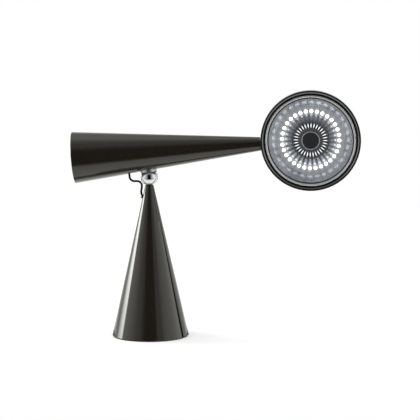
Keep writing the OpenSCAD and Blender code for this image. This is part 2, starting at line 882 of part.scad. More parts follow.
module back_cover() {
  low = -head_back - cover_t;
  color(paint) on_head() difference() {
    union() {
      rotate_extrude() {
        translate([0, low]) square([cover_d / 2 - cover_t / 2, cover_t]);
        translate([cover_d / 2 - cover_t / 2, low + cover_t / 2]) circle(d = cover_t);
        translate([0, -head_back - over]) square([cover_d / 2 - cover_t / 2, over]);
      }
      tube(cover_open_r - seat_fit, cover_open_r - 1.6, -head_back - over, -head_back + shell_wall);
    }
    on_circle(vent_count, 0) translate([0, 0, low - over]) linear_extrude(cover_t + 2 * over)
      slot_2d(vent_in_d / 2, vent_out_d / 2, vent_w, vent_w);
    at_cover_screws() round_bar(cover_screw_d / 2 + seat_fit, -cover_t - over, over);
  }
}

module cover_screws() {
  color(steel) on_head() at_cover_screws() {
    round_bar(cover_screw_d / 2, -cover_t - 0.5, shell_wall + 2);
    round_bar(cover_screw_d * 0.9, -cover_t - cover_screw_d * 0.6, -cover_t);
  }
}

module bezel_ring() {
  top = head_front - 2 * bead_r + 0.1;
  low = shelf - shelf_t;
  slope_out = bezel_out - bezel_lip;
  color(dark_metal) on_head() difference() {
    rotate_extrude() polygon([
      [bezel_out, low], [bezel_out, top], [slope_out, top],
      [slope_out - bezel_slope_w, top - bezel_slope_h],
      [bezel_in, top - bezel_slope_h - bezel_fall], [bezel_in, shelf],
      [mouth_r + shelf_step, shelf], [mouth_r + shelf_step, low]
    ]);
    at_trim_screws() round_bar(trim_screw_d / 2 + run_fit, low - over, shelf + over);
  }
}

// Two screws on the line of the arm's axis
module at_trim_screws() {
  for (side = [-1, 1]) translate([side * trim_screw_r, 0, 0]) children();
}

module trim_ring() {
  r = trim_w / 2;
  color(bright_metal) on_head() difference() {
    rotate_extrude() {
      translate([trim_in, trim_low]) square([trim_w, trim_h - r]);
      intersection() {
        translate([trim_in + r, trim_low + trim_h - r]) circle(r = r);
        translate([trim_in, trim_low]) square([trim_w, trim_h + over]);
      }
    }
    at_trim_screws() {
      round_bar(trim_screw_head_d / 2 + run_fit, trim_low + trim_seat, trim_low + trim_h + over);
      round_bar(trim_screw_d / 2 + run_fit, trim_low - over, trim_low + trim_seat + over);
    }
  }
}

module trim_screws() {
  color(dark_metal) on_head() at_trim_screws() {
    round_bar(trim_screw_head_d / 2, trim_low + trim_seat, trim_screw_top);
    round_bar(trim_screw_d / 2, shelf - shelf_t - 1, trim_low + trim_seat + 0.1);
  }
}

// The reflector is a round trough of sheet: a flange, an outer cone, a floor and an inner cone
module reflector() {
  outer_run = mouth_r - floor_out_d / 2;
  outer_rise = trim_low - floor_f;
  outer_drop = reflector_t * norm([outer_run, outer_rise]) / outer_run;
  outer_slope = outer_rise / outer_run;
  inner_run = floor_in_d / 2 - reflector_in;
  inner_rise = hub_edge - cone_drop - floor_f;
  inner_drop = reflector_t * norm([inner_run, inner_rise]) / inner_run;
  inner_slope = inner_rise / inner_run;
  color(bright_metal) on_head() difference() {
    rotate_extrude() polygon([
      [trim_out, trim_low], [mouth_r, trim_low], [floor_out_d / 2, floor_f],
      [floor_in_d / 2, floor_f], [reflector_in, floor_f + inner_rise],
      [reflector_in, floor_f + inner_rise - inner_drop],
      [floor_in_d / 2 - (inner_drop - reflector_t) / inner_slope, board_top],
      [floor_out_d / 2 + (outer_drop - reflector_t) / outer_slope, board_top],
      [mouth_r + (outer_drop - reflector_t) / outer_slope, shelf], [trim_out, shelf]
    ]);
    on_circle(led_count, led_circle_d / 2) round_bar(led_d / 2 + seat_fit, board_top - over, floor_f + over);
    at_trim_screws() round_bar(trim_screw_d / 2 + run_fit, shelf - over, trim_low + over);
  }
}

module led_board() {
  color(white_plastic) on_head() tube(floor_out_d / 2, floor_in_d / 2, board_low, board_top);
}

module leds() {
  color(white_plastic) on_head()
    on_circle(led_count, led_circle_d / 2) round_bar(led_d / 2, board_top, board_top + led_h);
}

// Each dome is the cap of a ball
module led_domes() {
  low = board_top + led_h;
  r = dome_d / 2;
  ball = (pow(r, 2) + pow(dome_h, 2)) / (2 * dome_h);
  color(white_plastic) on_head() on_circle(led_count, led_circle_d / 2) intersection() {
    translate([0, 0, low + dome_h - ball]) sphere(r = ball, $fn = 48);
    round_bar(led_d, low, low + dome_h + over);
  }
}

module heat_plate() {
  color(steel) on_head() {
    round_bar(heat_plate_d / 2, plate_low, board_low);
    on_circle(3, heat_plate_d / 2 - 8) round_bar(4, back_in, plate_low + 0.5);
  }
}

module hub() {
  color(dark_metal) on_head() difference() {
    rotate_extrude() polygon([
      [hub_r, board_low], [hub_r, hub_edge - 0.8], [hub_r - 0.7, hub_edge],
      [hub_r - 1.8, hub_edge], [hub_r - hub_edge_w, fin_top],
      [boss_r + boss_slope_w, fin_top], [boss_r + 0.4, boss_top - 0.6],
      [boss_r - 0.2, boss_top], [button_ring_d / 2 + seat_fit, boss_top],
      [button_ring_d / 2 + seat_fit, ring_seat], [button_hole_r, ring_seat],
      [button_hole_r, fin_low], [hub_r - hub_wall, fin_low], [hub_r - hub_wall, board_low]
    ]);
    on_circle(led_count, 0) translate([0, 0, fin_low - over]) linear_extrude(fin_h + 2 * over)
      slot_2d(slot_in_r, slot_out_r, slot_in_w, slot_out_w);
  }
}

module hub_diffuser() {
  color(white_plastic) on_head()
    tube(hub_r - hub_wall - seat_fit, slot_in_r - 2, fin_low - diffuser_t, fin_low);
}

module button_ring() {
  w = button_ring_d / 2 - button_hole_r;
  color(bright_metal) on_head() rotate_extrude() {
    translate([button_hole_r, ring_seat]) square([w, button_ring_h - w / 2]);
    translate([button_hole_r + w / 2, ring_seat + button_ring_h - w / 2]) circle(r = w / 2);
  }
}

module switch_body() {
  color(black_plastic) on_head() difference() {
    round_bar(switch_d / 2, board_low, switch_top);
    round_bar(stem_d / 2 + run_fit, stem_low - button_travel - 0.5, switch_top + over);
  }
}

module push_button() {
  color(black_plastic) on_head() {
    rotate_extrude() {
      translate([0, button_low]) square([button_r, button_t - button_round]);
      translate([0, button_low]) square([button_r - button_round, button_t]);
      translate([button_r - button_round, boss_top - button_round]) circle(r = button_round);
    }
    round_bar(stem_d / 2, stem_low, button_low + over);
  }
}

base_cone();
base_plate();
foot_pad();
ballast();
plate_screws();
neck_bush();
lower_grommet();
power_inlet();
inlet_nut();
driver_board();
board_screws();
link_lead();
ball_stud();
stud_washer();
stud_nut();
arm_cone();
end_cap();
cap_screw();
counterweight();
socket_ring();
socket_cup();
magnet();
magnet_nut();
saddle_block();
upper_grommet();
tip_plug();
tip_collar();
swivel_spindle();
spindle_washer();
spindle_nut();
head_shell();
bezel_ring();
trim_ring();
trim_screws();
reflector();
led_board();
leds();
led_domes();
heat_plate();
hub();
hub_diffuser();
button_ring();
switch_body();
back_cover();
cover_screws();
push_button();
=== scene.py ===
"""Looks of a task lamp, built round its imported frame.

A cone-shaped base carries a chromed ball, on which a long tapered arm turns and tilts. A round head
with a ring of diodes turns at the arm's tip. Lengths in the sub-assemblies are millimetres, those
in the finishes and in Blender are metres, and angles are degrees.
"""

from __future__ import annotations

import json
import logging
import math
from collections.abc import Callable, Iterable
from dataclasses import dataclass, field
from enum import Enum
from typing import Any

import bmesh
import bpy
from mathutils import Matrix, Vector


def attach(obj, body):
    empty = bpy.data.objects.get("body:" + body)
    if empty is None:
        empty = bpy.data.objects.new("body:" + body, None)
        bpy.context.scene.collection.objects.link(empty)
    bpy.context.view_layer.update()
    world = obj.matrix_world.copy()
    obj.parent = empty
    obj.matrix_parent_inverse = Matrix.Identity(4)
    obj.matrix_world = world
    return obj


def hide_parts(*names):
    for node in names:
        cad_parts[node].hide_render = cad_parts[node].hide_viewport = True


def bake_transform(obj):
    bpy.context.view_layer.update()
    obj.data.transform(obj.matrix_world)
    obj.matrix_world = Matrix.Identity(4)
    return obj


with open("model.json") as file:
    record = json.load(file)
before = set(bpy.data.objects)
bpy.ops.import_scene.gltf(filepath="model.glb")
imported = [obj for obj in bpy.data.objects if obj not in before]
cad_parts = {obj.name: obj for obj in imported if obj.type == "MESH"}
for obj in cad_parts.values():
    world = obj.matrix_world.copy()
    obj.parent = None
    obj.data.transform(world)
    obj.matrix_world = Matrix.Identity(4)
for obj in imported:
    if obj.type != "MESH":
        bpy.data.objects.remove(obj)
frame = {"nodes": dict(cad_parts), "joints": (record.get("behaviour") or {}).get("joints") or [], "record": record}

LOG = logging.getLogger("task_lamp")
MM = 0.001
TO_DEGREES = 180 / math.pi
Point = tuple[float, float]
Outline = list[Point]
Colour = tuple[float, float, float]
BLACK: Colour = (0.0, 0.0, 0.0)
WHITE = (1.0, 1.0, 1.0, 1.0)
MIX_SOCKETS = (0, 6, 7)
MIX_COLOUR = 2
RAMP_TOP = 2.0
STREAK = 0.004
SPINDLE_HOLE = 6.05
SHARP = 30.0
TUBE_SHARP = 50.0
TURNED_DOUBLES = 0.000002
TUBE_DOUBLES = 0.000001
GROMMET: Outline = [
    (2.0, -4), (2.0, 1.4), (3.1, 1.4), (3.5, 1.0), (3.5, -1.2), (2.8, -1.2), (2.8, -4),
]
CAP_SCREW: Outline = [(0, 24), (2.5, 24), (2.5, 2.5), (5, 0), (0, 0)]
COVER_SCREW: Outline = [
    (0, 3.5), (1.25, 3.5), (1.25, -1.6), (2.25, -1.6), (1.9, -2.8), (0, -3.1),
]


def arc(centre: Point, radius: float, start: float, end: float, steps: int) -> Outline:
    """Points along an arc of a section.

    Args:
        centre: Middle of the arc as (distance from the axis, height), in mm.
        radius: Radius of the arc, in mm.
        start: First angle, 0 pointing away from the axis and 90 up.
        end: Last angle.
        steps: Number of chords.

    Returns:
        The points, both ends included.
    """
    turns = [math.radians(start + (end - start) * i / steps) for i in range(steps + 1)]
    return [(centre[0] + radius * math.cos(a), centre[1] + radius * math.sin(a)) for a in turns]


def sagging(start: Point, end: Point, sag: float, steps: int = 10) -> Outline:
    """Points along a shallow curve between two points of a section.

    Args:
        start: First point, in mm.
        end: Last point, in mm.
        sag: How far the curve's middle lies to the left of the straight way, in mm.
        steps: Number of chords.

    Returns:
        The points, both ends included.
    """
    run, rise = end[0] - start[0], end[1] - start[1]
    length = math.hypot(run, rise)
    made = []
    for i in range(steps + 1):
        share = i / steps
        off = 4 * sag * share * (1 - share) / length
        made.append((start[0] + run * share - rise * off, start[1] + rise * share + run * off))
    return made


def slant(radius: Callable[[float], float], low: float, high: float, steps: int) -> Outline:
    """Points up a cone's side, from 1 mm past its low end to 1 mm short of its high one."""
    places = [low + 1 + (high - low - 2) * i / steps for i in range(steps + 1)]
    return [(radius(place), place) for place in places]


def toned(colour: Colour, share: float) -> Colour:
    """A colour made lighter or darker by a share."""
    return tuple(min(1.0, part * share) for part in colour)


@dataclass(frozen=True)
class Axis:
    """A line in the lamp that pieces are turned about. The direction across counts as angle 0."""

    name: str
    origin: Vector
    along: Vector
    across: Vector

    def matrix(self) -> Matrix:
        """Place of the axis.

        Returns:
            The matrix that puts Z along the line.
        """
        z = self.along.normalized()
        x = (self.across - self.across.dot(z) * z).normalized()
        turn = Matrix((x, z.cross(x), z)).transposed().to_4x4()
        return Matrix.Translation(self.origin) @ turn

    def point(self, x: float, z: float) -> Vector:
        """A place given in mm across and along the axis, in the row frame."""
        return self.matrix() @ Vector((x * MM, 0, z * MM))

    def moved(self, name: str, z: float) -> Axis:
        """The same axis with its start z mm further along."""
        turn = self.matrix().to_3x3()
        return Axis(name, self.point(0, z), turn @ Vector((0, 0, 1)), turn @ Vector((1, 0, 0)))


def lamp_axes() -> dict[str, Axis]:
    """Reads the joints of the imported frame.

    Returns:
        The axis of each body, by the body's name.
    """
    joints = {joint["name"]: joint for joint in frame["joints"]}
    ball = Vector(joints["ball_tilt"]["pos_m"])
    head = Vector(joints["head_swivel"]["pos_m"])
    way = Vector(joints["head_swivel"]["axis"]).normalized()
    up, ahead = Vector((0, 0, 1)), Vector((1, 0, 0))
    face = Axis("head", head, -Vector(joints["button_press"]["axis"]).normalized(), way)
    return {
        "base": Axis("base", Vector((0, 0, 0)), up, ahead),
        "ball": Axis("ball", ball, up, ahead),
        "arm": Axis("arm", head - way * (head - ball).dot(way), way, -up),
        "head": face,
        "button": face,
    }


class Slot(Enum):
    """The record's material slots."""

    LACQUER = "dark_lacquer"
    ANODISED = "dark_anodised"
    ALUMINIUM = "bright_aluminium"
    REFLECTOR = "reflector_aluminium"
    CHROME = "chrome"
    STEEL = "steel"
    IRON = "iron"
    BRASS = "brass"
    RUBBER = "rubber"
    PLASTIC = "black_plastic"
    CIRCUIT = "circuit_board"
    WHITE_BOARD = "white_board"
    LED = "led_white"
    DIFFUSER = "diffuser"


@dataclass(frozen=True)
class Signal:
    """An output of a shader node. Arithmetic on it adds the Math nodes that work it out."""

    graph: Graph
    socket: bpy.types.NodeSocket

    def math(self, operation: str, *others: Signal | float) -> Signal:
        """One Math node with this signal first and the other values after it."""
        inputs = dict(enumerate((self, *others)))
        return self.graph.signal("ShaderNodeMath", {"operation": operation}, inputs)

    def __add__(self, other: Signal | float) -> Signal:
        """Sum."""
        return self.math("ADD", other)

    def __sub__(self, other: Signal | float) -> Signal:
        """Difference."""
        return self.math("SUBTRACT", other)

    def __rsub__(self, other: float) -> Signal:
        """A number less this signal."""
        return self * -1.0 + other

    def __mul__(self, other: Signal | float) -> Signal:
        """Product."""
        return self.math("MULTIPLY", other)

    def __truediv__(self, other: Signal | float) -> Signal:
        """Quotient."""
        return self.math("DIVIDE", other)

    def __pow__(self, other: float) -> Signal:
        """Power."""
        return self.math("POWER", other)

    __radd__ = __add__
    __rmul__ = __mul__

    def step(self, low: float, high: float) -> Signal:
        """Smooth step from 0 at low to 1 at high."""
        values = {0: self, 1: low, 2: high, 3: 0.0, 4: 1.0}
        return self.graph.signal(
            "ShaderNodeMapRange", {"interpolation_type": "SMOOTHSTEP"}, values
        )

    def between(self, rise: Point, fall: Point) -> Signal:
        """1 after a smooth rise and before a smooth fall, and 0 outside them."""
        return self.step(*rise) * (1 - self.step(*fall))

    def halfway(self, count: int, power: float) -> Signal:
        """Of an angle in radians: 0 at each of so many even rays, and 1 halfway between two."""
        return ((self * count).math("COSINE") * -0.5 + 0.5) ** power


class Graph:
    """A node tree that is being drawn."""

    def __init__(self, owner: bpy.types.Material | bpy.types.World) -> None:
        """Gives a material or the world an empty tree.

        Args:
            owner: The material or the world.
        """
        owner.use_nodes = True
        self.tree = owner.node_tree
        self.tree.nodes.clear()

    def node(
        self, kind: str, settings: dict[str, Any], inputs: dict[str | int, Any]
    ) -> bpy.types.Node:
        """Adds one node.

        Args:
            kind: The node's type.
            settings: Its own settings, a ramp's stops under "stops" as (place, level) pairs.
            inputs: Numbers, colours or signals for its inputs, by name or number.

        Returns:
            The node.
        """
        made = self.tree.nodes.new(kind)
        for name, value in settings.items():
            if name == "stops":
                self._set_stops(made.color_ramp, value)
            else:
                setattr(made, name, value)
        for key, value in inputs.items():
            if isinstance(value, Signal):
                self.tree.links.new(value.socket, made.inputs[key])
            else:
                made.inputs[key].default_value = value
        return made

    def signal(
        self, kind: str, settings: dict[str, Any], inputs: dict[str | int, Any],
        output: str | int = 0,
    ) -> Signal:
        """Adds one node, as node does, and returns the output of that name or number."""
        return Signal(self, self.node(kind, settings, inputs).outputs[output])

    @staticmethod
    def _set_stops(ramp: bpy.types.ColorRamp, stops: Iterable[Point]) -> None:
        """Gives a ramp its grey stops.

        Args:
            ramp: The ramp of a new node.
            stops: (place, level) pairs in rising order.
        """
        listed = list(stops)
        while len(ramp.elements) < len(listed):
            ramp.elements.new(1.0)
        for element, (place, level) in zip(ramp.elements, listed, strict=True):
            element.position = place
            element.color = (level, level, level, 1.0)

    def lookup(self, value: Signal, stops: tuple[Point, ...]) -> Signal:
        """A value looked up along a row of stops.

        Args:
            value: Where to look.
            stops: (place, level) pairs in rising order, with no level above RAMP_TOP.

        Returns:
            The level.
        """
        low, high = stops[0][0], stops[-1][0]
        share = (value - low) * (1 / (high - low))
        scaled = [((place - low) / (high - low), level / RAMP_TOP) for place, level in stops]
        return self.signal("ShaderNodeValToRGB", {"stops": scaled}, {0: share}) * RAMP_TOP

    def place(self, axis: Axis | None = None) -> Signal:
        """Object coordinates, seen from an axis if one is given.

        Args:
            axis: The axis whose own X, Y and Z the coordinates follow.

        Returns:
            The coordinates as a vector, in metres.
        """
        spot = self.signal("ShaderNodeTexCoord", {}, {}, "Object")
        if axis is None:
            return spot
        turn = axis.matrix().to_euler("XYZ")
        inputs = {"Vector": spot, "Location": axis.origin, "Rotation": turn}
        return self.signal("ShaderNodeMapping", {"vector_type": "TEXTURE"}, inputs)

    def parts(self, vector: Signal) -> tuple[Signal, Signal, Signal]:
        """The X, Y and Z of a vector."""
        made = self.node("ShaderNodeSeparateXYZ", {}, {0: vector})
        return tuple(Signal(self, output) for output in made.outputs)

    def polar(self, axis: Axis) -> tuple[Signal, Signal, Signal]:
        """Distance from an axis in metres, angle round it in radians, and place along it."""
        x, y, z = self.parts(self.place(axis))
        return (x * x + y * y) ** 0.5, y.math("ARCTAN2", x), z

    def vector(self, x: Signal | float, y: Signal | float, z: Signal | float) -> Signal:
        """A vector from three numbers."""
        return self.signal("ShaderNodeCombineXYZ", {}, {0: x, 1: y, 2: z})

    def noise(
        self, spot: Signal, per_metre: float, detail: float = 2.0, rough: float = 0.5
    ) -> Signal:
        """Noise from 0 to 1, with so many lumps to a metre and octaves of finer noise."""
        inputs = {"Vector": spot, "Scale": per_metre, "Detail": detail, "Roughness": rough}
        return self.signal("ShaderNodeTexNoise", {"noise_dimensions": "3D"}, inputs)

    def blend(self, share: Signal | float, first: Any, second: Any) -> Signal:
        """Mixes two colours.

        Args:
            share: 0 for the first and 1 for the second.
            first: A colour or a signal.
            second: A colour or a signal.

        Returns:
            The mixed colour.
        """
        colours = (c if isinstance(c, Signal) else (*c, 1.0) for c in (first, second))
        inputs = dict(zip(MIX_SOCKETS, (share, *colours), strict=True))
        return self.signal("ShaderNodeMix", {"data_type": "RGBA"}, inputs, MIX_COLOUR)

    def bump(self, height: Signal, depth: float) -> Signal:
        """A normal bent by a height from 0 to 1 that is so many metres deep."""
        inputs = {"Strength": 1.0, "Distance": depth, "Height": height}
        return self.signal("ShaderNodeBump", {}, inputs, "Normal")

    def rays(self) -> tuple[Signal, Signal]:
        """Tells rays apart.

        Returns:
            1 for rays that the camera sees, straight or through glass, and 1 for gloss.
        """
        paths = self.node("ShaderNodeLightPath", {}, {})
        camera, glossy, through = (
            Signal(self, paths.outputs[f"Is {kind} Ray"])
            for kind in ("Camera", "Glossy", "Transmission")
        )
        return camera.math("MAXIMUM", through), glossy


@dataclass(frozen=True)
class Finish:
    """A surface finish. Its paint method says what changes over the surface."""

    title: str
    colour: Colour
    roughness: float
    metallic: float = 0.0
    fixed: dict[str, Any] = field(default_factory=dict)

    def paint(self, graph: Graph, axis: Axis) -> dict[str, Any]:
        """Inputs of the surface shader that change over the surface, by name."""
        raise NotImplementedError

    def material(self, axis: Axis) -> bpy.types.Material:
        """The finish as a material, made once for each axis.

        Args:
            axis: Axis that turned and brushed marks run round.

        Returns:
            The material.
        """
        name = f"{self.title}_{axis.name}"
        known = bpy.data.materials.get(name)
        if known is not None:
            return known
        made = bpy.data.materials.new(name)
        graph = Graph(made)
        inputs = {
            "Base Color": (*self.colour, 1.0), "Roughness": self.roughness,
            "Metallic": self.metallic, **self.fixed, **self.paint(graph, axis),
        }
        shader = graph.signal("ShaderNodeBsdfPrincipled", {}, inputs)
        graph.node("ShaderNodeOutputMaterial", {}, {"Surface": shader})
        return made


@dataclass(frozen=True)
class Lacquer(Finish):
    """Deep gloss lacquer with a faint orange peel and the finest of flake."""

    flake: float = 0.25
    flakes_per_m: float = 5200.0
    clouding: float = 0.3
    clouds_per_m: float = 16.0
    handling: float = 0.02
    marks_per_m: float = 60.0
    peel: float = 0.000004
    peel_per_m: float = 420.0

    def paint(self, graph: Graph, axis: Axis) -> dict[str, Any]:
        """Flake in the colour, handling marks in the gloss and peel in the relief."""
        spot = graph.place()
        glint = graph.noise(spot, self.flakes_per_m, 0.0).step(0.62, 0.8)
        cloud = graph.noise(spot, self.clouds_per_m, 3.0)
        handled = graph.noise(spot, self.marks_per_m, 4.0, 0.6).step(0.45, 0.8)
        share = glint * self.flake + cloud * self.clouding
        return {
            "Base Color": graph.blend(share, self.colour, toned(self.colour, 1 + self.flake * 2)),
            "Roughness": self.roughness + handled * self.handling,
            "Normal": graph.bump(graph.noise(spot, self.peel_per_m, 1.0), self.peel),
        }


@dataclass(frozen=True)
class TurnedMetal(Finish):
    """Metal with the fine circular marks of a lathe or a brushing wheel."""

    marks_per_mm: float = 5.0
    clouds_per_m: float = 30.0
    depth: float = 0.000004
    wander: float = 0.35
    dulling: float = 0.16

    def paint(self, graph: Graph, axis: Axis) -> dict[str, Any]:
        """Marks that run round the axis, each a little lighter or darker than the next."""
        radius, turn, z = graph.polar(axis)
        ring = graph.vector(radius, turn * STREAK, z)
        marks = graph.noise(ring, self.marks_per_mm / MM, 2.0, 0.7)
        share = marks * 0.7 + graph.noise(graph.place(), self.clouds_per_m, 3.0) * 0.3
        return {
            "Base Color": graph.blend(share, toned(self.colour, 1 - self.wander), self.colour),
            "Roughness": self.roughness + (marks - 0.5) * self.dulling,
            "Normal": graph.bump(marks, self.depth),
        }


@dataclass(frozen=True)
class HubMetal(TurnedMetal):
    """Anodised metal with painted shade on the fins between the lit slots, and the slots' light painted as a glow
    beyond both their ends.

    Pairs are distances from the axis between which one look passes into the next.
    """

    # Painted shade: over these radii the fins are darker than the rest of the hub.
    fin_shade_rise: Point = (0.0195, 0.0205)
    fin_shade_fall: Point = (0.0284, 0.0289)
    fin_shade_colour: Colour = (0.02, 0.02, 0.024)
    slots: int = 32
    light_rise: Point = (0.0175, 0.0205)
    light_fall: Point = (0.0284, 0.034)
    light_colour: Colour = (0.95, 0.98, 1.0)
    light: float = 0.09
    narrowing: float = 2.5

    def paint(self, graph: Graph, axis: Axis) -> dict[str, Any]:
        """The turned marks, with the fins' painted shade and the slots' painted light by their distance from the
        axis.
        """
        made = super().paint(graph, axis)
        radius, turn, _ = graph.polar(axis)
        # Painted shade on the band of the fins, as if shaded between the lit slots.
        fins = radius.between(self.fin_shade_rise, self.fin_shade_fall)
        beam = turn.halfway(self.slots, self.narrowing)
        lit = beam * radius.between(self.light_rise, self.light_fall) * self.light
        return {
            **made,
            "Base Color": graph.blend(fins, made["Base Color"], self.fin_shade_colour),
            "Emission Color": graph.blend(lit, BLACK, self.light_colour),
            "Emission Strength": 1.0,
        }


@dataclass(frozen=True)
class MirrorMetal(Finish):
    """Polished plating with only the faintest wiping marks."""

    marks_per_m: float = 90.0
    haze: float = 0.93
    dulling: float = 0.03

    def paint(self, graph: Graph, axis: Axis) -> dict[str, Any]:
        """Wiping marks in the gloss and a breath of haze in the colour."""
        wiped = graph.noise(graph.place(), self.marks_per_m, 4.0, 0.65)
        dull = toned(self.colour, self.haze)
        return {
            "Base Color": graph.blend(wiped.step(0.4, 0.75), self.colour, dull),
            "Roughness": self.roughness + wiped.step(0.5, 0.8) * self.dulling,
        }


@dataclass(frozen=True)
class ReflectorMetal(Finish):
    """Pressed reflector sheet: turned inner cone with painted shade towards the hub, plain floor, stippled wall
    and a smooth flange darkened with painted shade.

    Pairs are distances from the head's axis between which one look passes into the next.
    """

    # Between these radii the cone's painted shade fades into its own colour.
    cone_shade_fade: Point = (0.0315, 0.0405)
    cone_end: Point = (0.0426, 0.0436)
    floor_end: Point = (0.0574, 0.059)
    wall_end: Point = (0.0701, 0.0709)
    # Painted shade: the cone's colour beside the hub, lightening to cone_colour towards its foot.
    cone_painted_shade: Colour = (0.13, 0.135, 0.15)
    cone_colour: Colour = (0.44, 0.46, 0.48)
    floor_colour: Colour = (0.56, 0.58, 0.61)
    # Painted shade: the flange's dark colour stands in for the shadowed groove beside the bright ring.
    flange_painted_shade: Colour = (0.25, 0.26, 0.27)
    cool: Colour = (0.3, 0.32, 0.36)
    floor_metal: float = 0.5
    cone_gloss: float = 0.2
    flange_gloss: float = 0.25
    grooves: float = 0.00008
    grooves_per_m: float = 1500.0
    stipple: float = 0.00012
    pits_per_m: float = 520.0
    clouds_per_m: float = 85.0
    cloud_streak: float = 0.03
    patches_per_m: float = 22.0
    diodes: int = 32
    beam_low: float = 0.12
    narrowing: float = 1.3
    diode_ends: Point = (0.0455, 0.052)
    light_cone: Point = (0.031, 0.036)
    light_floor: Point = (0.0385, 0.0455)
    light_wall: Point = (0.052, 0.0582)
    cone_light: float = 0.05
    floor_light: float = 0.27
    wall_light: float = 0.15
    light_colour: Colour = (0.93, 0.97, 1.0)

    def lit(self, radius: Signal, turn: Signal) -> Signal:
        """Light that the diodes throw on the sheet beside them.

        Args:
            radius: Distance from the head's axis.
            turn: Angle round it, in radians.

        Returns:
            The light's strength.
        """
        beam = turn.halfway(self.diodes, self.narrowing) * (1 - self.beam_low) + self.beam_low
        near = radius.step(*self.light_floor) * self.floor_light
        near = near + radius.step(*self.light_cone) * self.cone_light
        beyond = (1 - radius.step(*self.light_wall)) * self.wall_light
        outside = radius.step(*self.diode_ends)
        return beam * (near * (1 - outside) + beyond * outside)

    def paint(self, graph: Graph, axis: Axis) -> dict[str, Any]:
        """Grooves on the cone, stipple and cool clouds on the wall, painted shade on the cone's top and on the
        flange, and the diodes' light.
        """
        radius, turn, z = graph.polar(axis)
        cone = 1 - radius.step(*self.cone_end)
        flange = radius.step(*self.wall_end)
        past_floor = radius.step(*self.floor_end)
        wall = past_floor * (1 - flange)
        floor = (1 - cone) * (1 - past_floor)
        spread = graph.vector(radius, turn * self.cloud_streak, z)
        cloud = graph.noise(spread, self.clouds_per_m, 3.0, 0.6)
        patch = graph.noise(graph.place(), self.patches_per_m, 1.0)
        ring = graph.vector(radius, turn * STREAK, z)
        groove = graph.noise(ring, self.grooves_per_m, 1.0)
        pits = graph.noise(graph.place(), self.pits_per_m, 2.0, 0.6)
        height = groove * cone * self.grooves + (pits * 0.6 + cloud * 1.4) * wall * self.stipple
        share = cloud.step(0.35, 0.7) * 0.6 + patch.step(0.45, 0.62) * 0.4
        tone = graph.blend(share, self.colour, self.cool)
        tone = graph.blend(floor, tone, self.floor_colour)
        # Painted shade: the cone darkens from its foot towards the hub.
        foot = radius.step(*self.cone_shade_fade)
        tone = graph.blend(cone, tone, graph.blend(foot, self.cone_painted_shade, self.cone_colour))
        gloss = self.roughness + (cloud - 0.5) * 0.2
        gloss = gloss + cone * (self.cone_gloss - gloss)
        return {
            # The flange's dark colour is painted shade.
            "Base Color": graph.blend(flange, tone, self.flange_painted_shade),
            "Roughness": gloss + flange * (self.flange_gloss - gloss),
            "Metallic": self.metallic - floor * (self.metallic - self.floor_metal),
            "Coat Weight": wall,
            "Emission Color": graph.blend(self.lit(radius, turn), BLACK, self.light_colour),
            "Emission Strength": 1.0,
            "Normal": graph.bump(height, 1.0),
        }


@dataclass(frozen=True)
class Grained(Finish):
    """Rubber, moulded plastic or cast metal: an even grain with a little change of tone."""

    grain_per_mm: float = 2.0
    clouds_per_m: float = 45.0
    depth: float = 0.00002
    tone: float = 0.35
    dulling: float = 0.2

    def paint(self, graph: Graph, axis: Axis) -> dict[str, Any]:
        """Grain in the relief and the tone."""
        spot = graph.place()
        grain = graph.noise(spot, self.grain_per_mm / MM, 3.0, 0.6)
        share = grain * 0.5 + graph.noise(spot, self.clouds_per_m, 2.0) * 0.5
        return {
            "Base Color": graph.blend(share, self.colour, toned(self.colour, 1 + self.tone)),
            "Roughness": self.roughness + (grain - 0.5) * self.dulling,
            "Normal": graph.bump(grain, self.depth),
        }


@dataclass(frozen=True)
class CircuitBoard(Finish):
    """Solder mask over copper tracks that run in two directions."""

    track: Colour = (0.08, 0.3, 0.13)
    pitch: float = 0.0024
    patches_per_m: float = 120.0
    relief: float = 0.00004

    def paint(self, graph: Graph, axis: Axis) -> dict[str, Any]:
        """Tracks in patches, raised a little under the mask."""
        spot = graph.place(axis)
        x, y, _ = graph.parts(spot)
        patch = graph.noise(spot, self.patches_per_m, 0.0).step(0.48, 0.52)
        lines = [(way * (math.tau / self.pitch)).math("SINE").step(0.2, 0.6) for way in (x, y)]
        tracks = lines[0] * patch + lines[1] * (1 - patch)
        return {
            "Base Color": graph.blend(tracks, self.colour, self.track),
            "Roughness": self.roughness + tracks * 0.1,
            "Normal": graph.bump(tracks, self.relief),
        }


@dataclass(frozen=True)
class Glow(Finish):
    """A surface that gives light, a little weaker in its grain."""

    light: Colour = (1.0, 1.0, 1.0)
    strength: float = 1.0
    unevenness: float = 0.1
    grain_per_m: float = 700.0

    def paint(self, graph: Graph, axis: Axis) -> dict[str, Any]:
        """Light with a fine grain."""
        grain = graph.noise(graph.place(), self.grain_per_m, 1.0)
        light = graph.blend(grain, toned(self.light, 1 - self.unevenness), self.light)
        return {"Emission Color": light, "Emission Strength": self.strength}


@dataclass(frozen=True)
class RingGlow(Glow):
    """A lit ring that is brightest along its middle and fades to both edges."""

    middle: float = 0.0246
    reach: float = 0.0056
    edge: Colour = (0.02, 0.02, 0.02)

    def paint(self, graph: Graph, axis: Axis) -> dict[str, Any]:
        """The plain glow, weakened by the distance from the ring's middle."""
        made = super().paint(graph, axis)
        radius, _, _ = graph.polar(axis)
        off = ((radius - self.middle) / self.reach).math("ABSOLUTE").step(0.1, 1.0)
        return {**made, "Emission Color": graph.blend(off, made["Emission Color"], self.edge)}


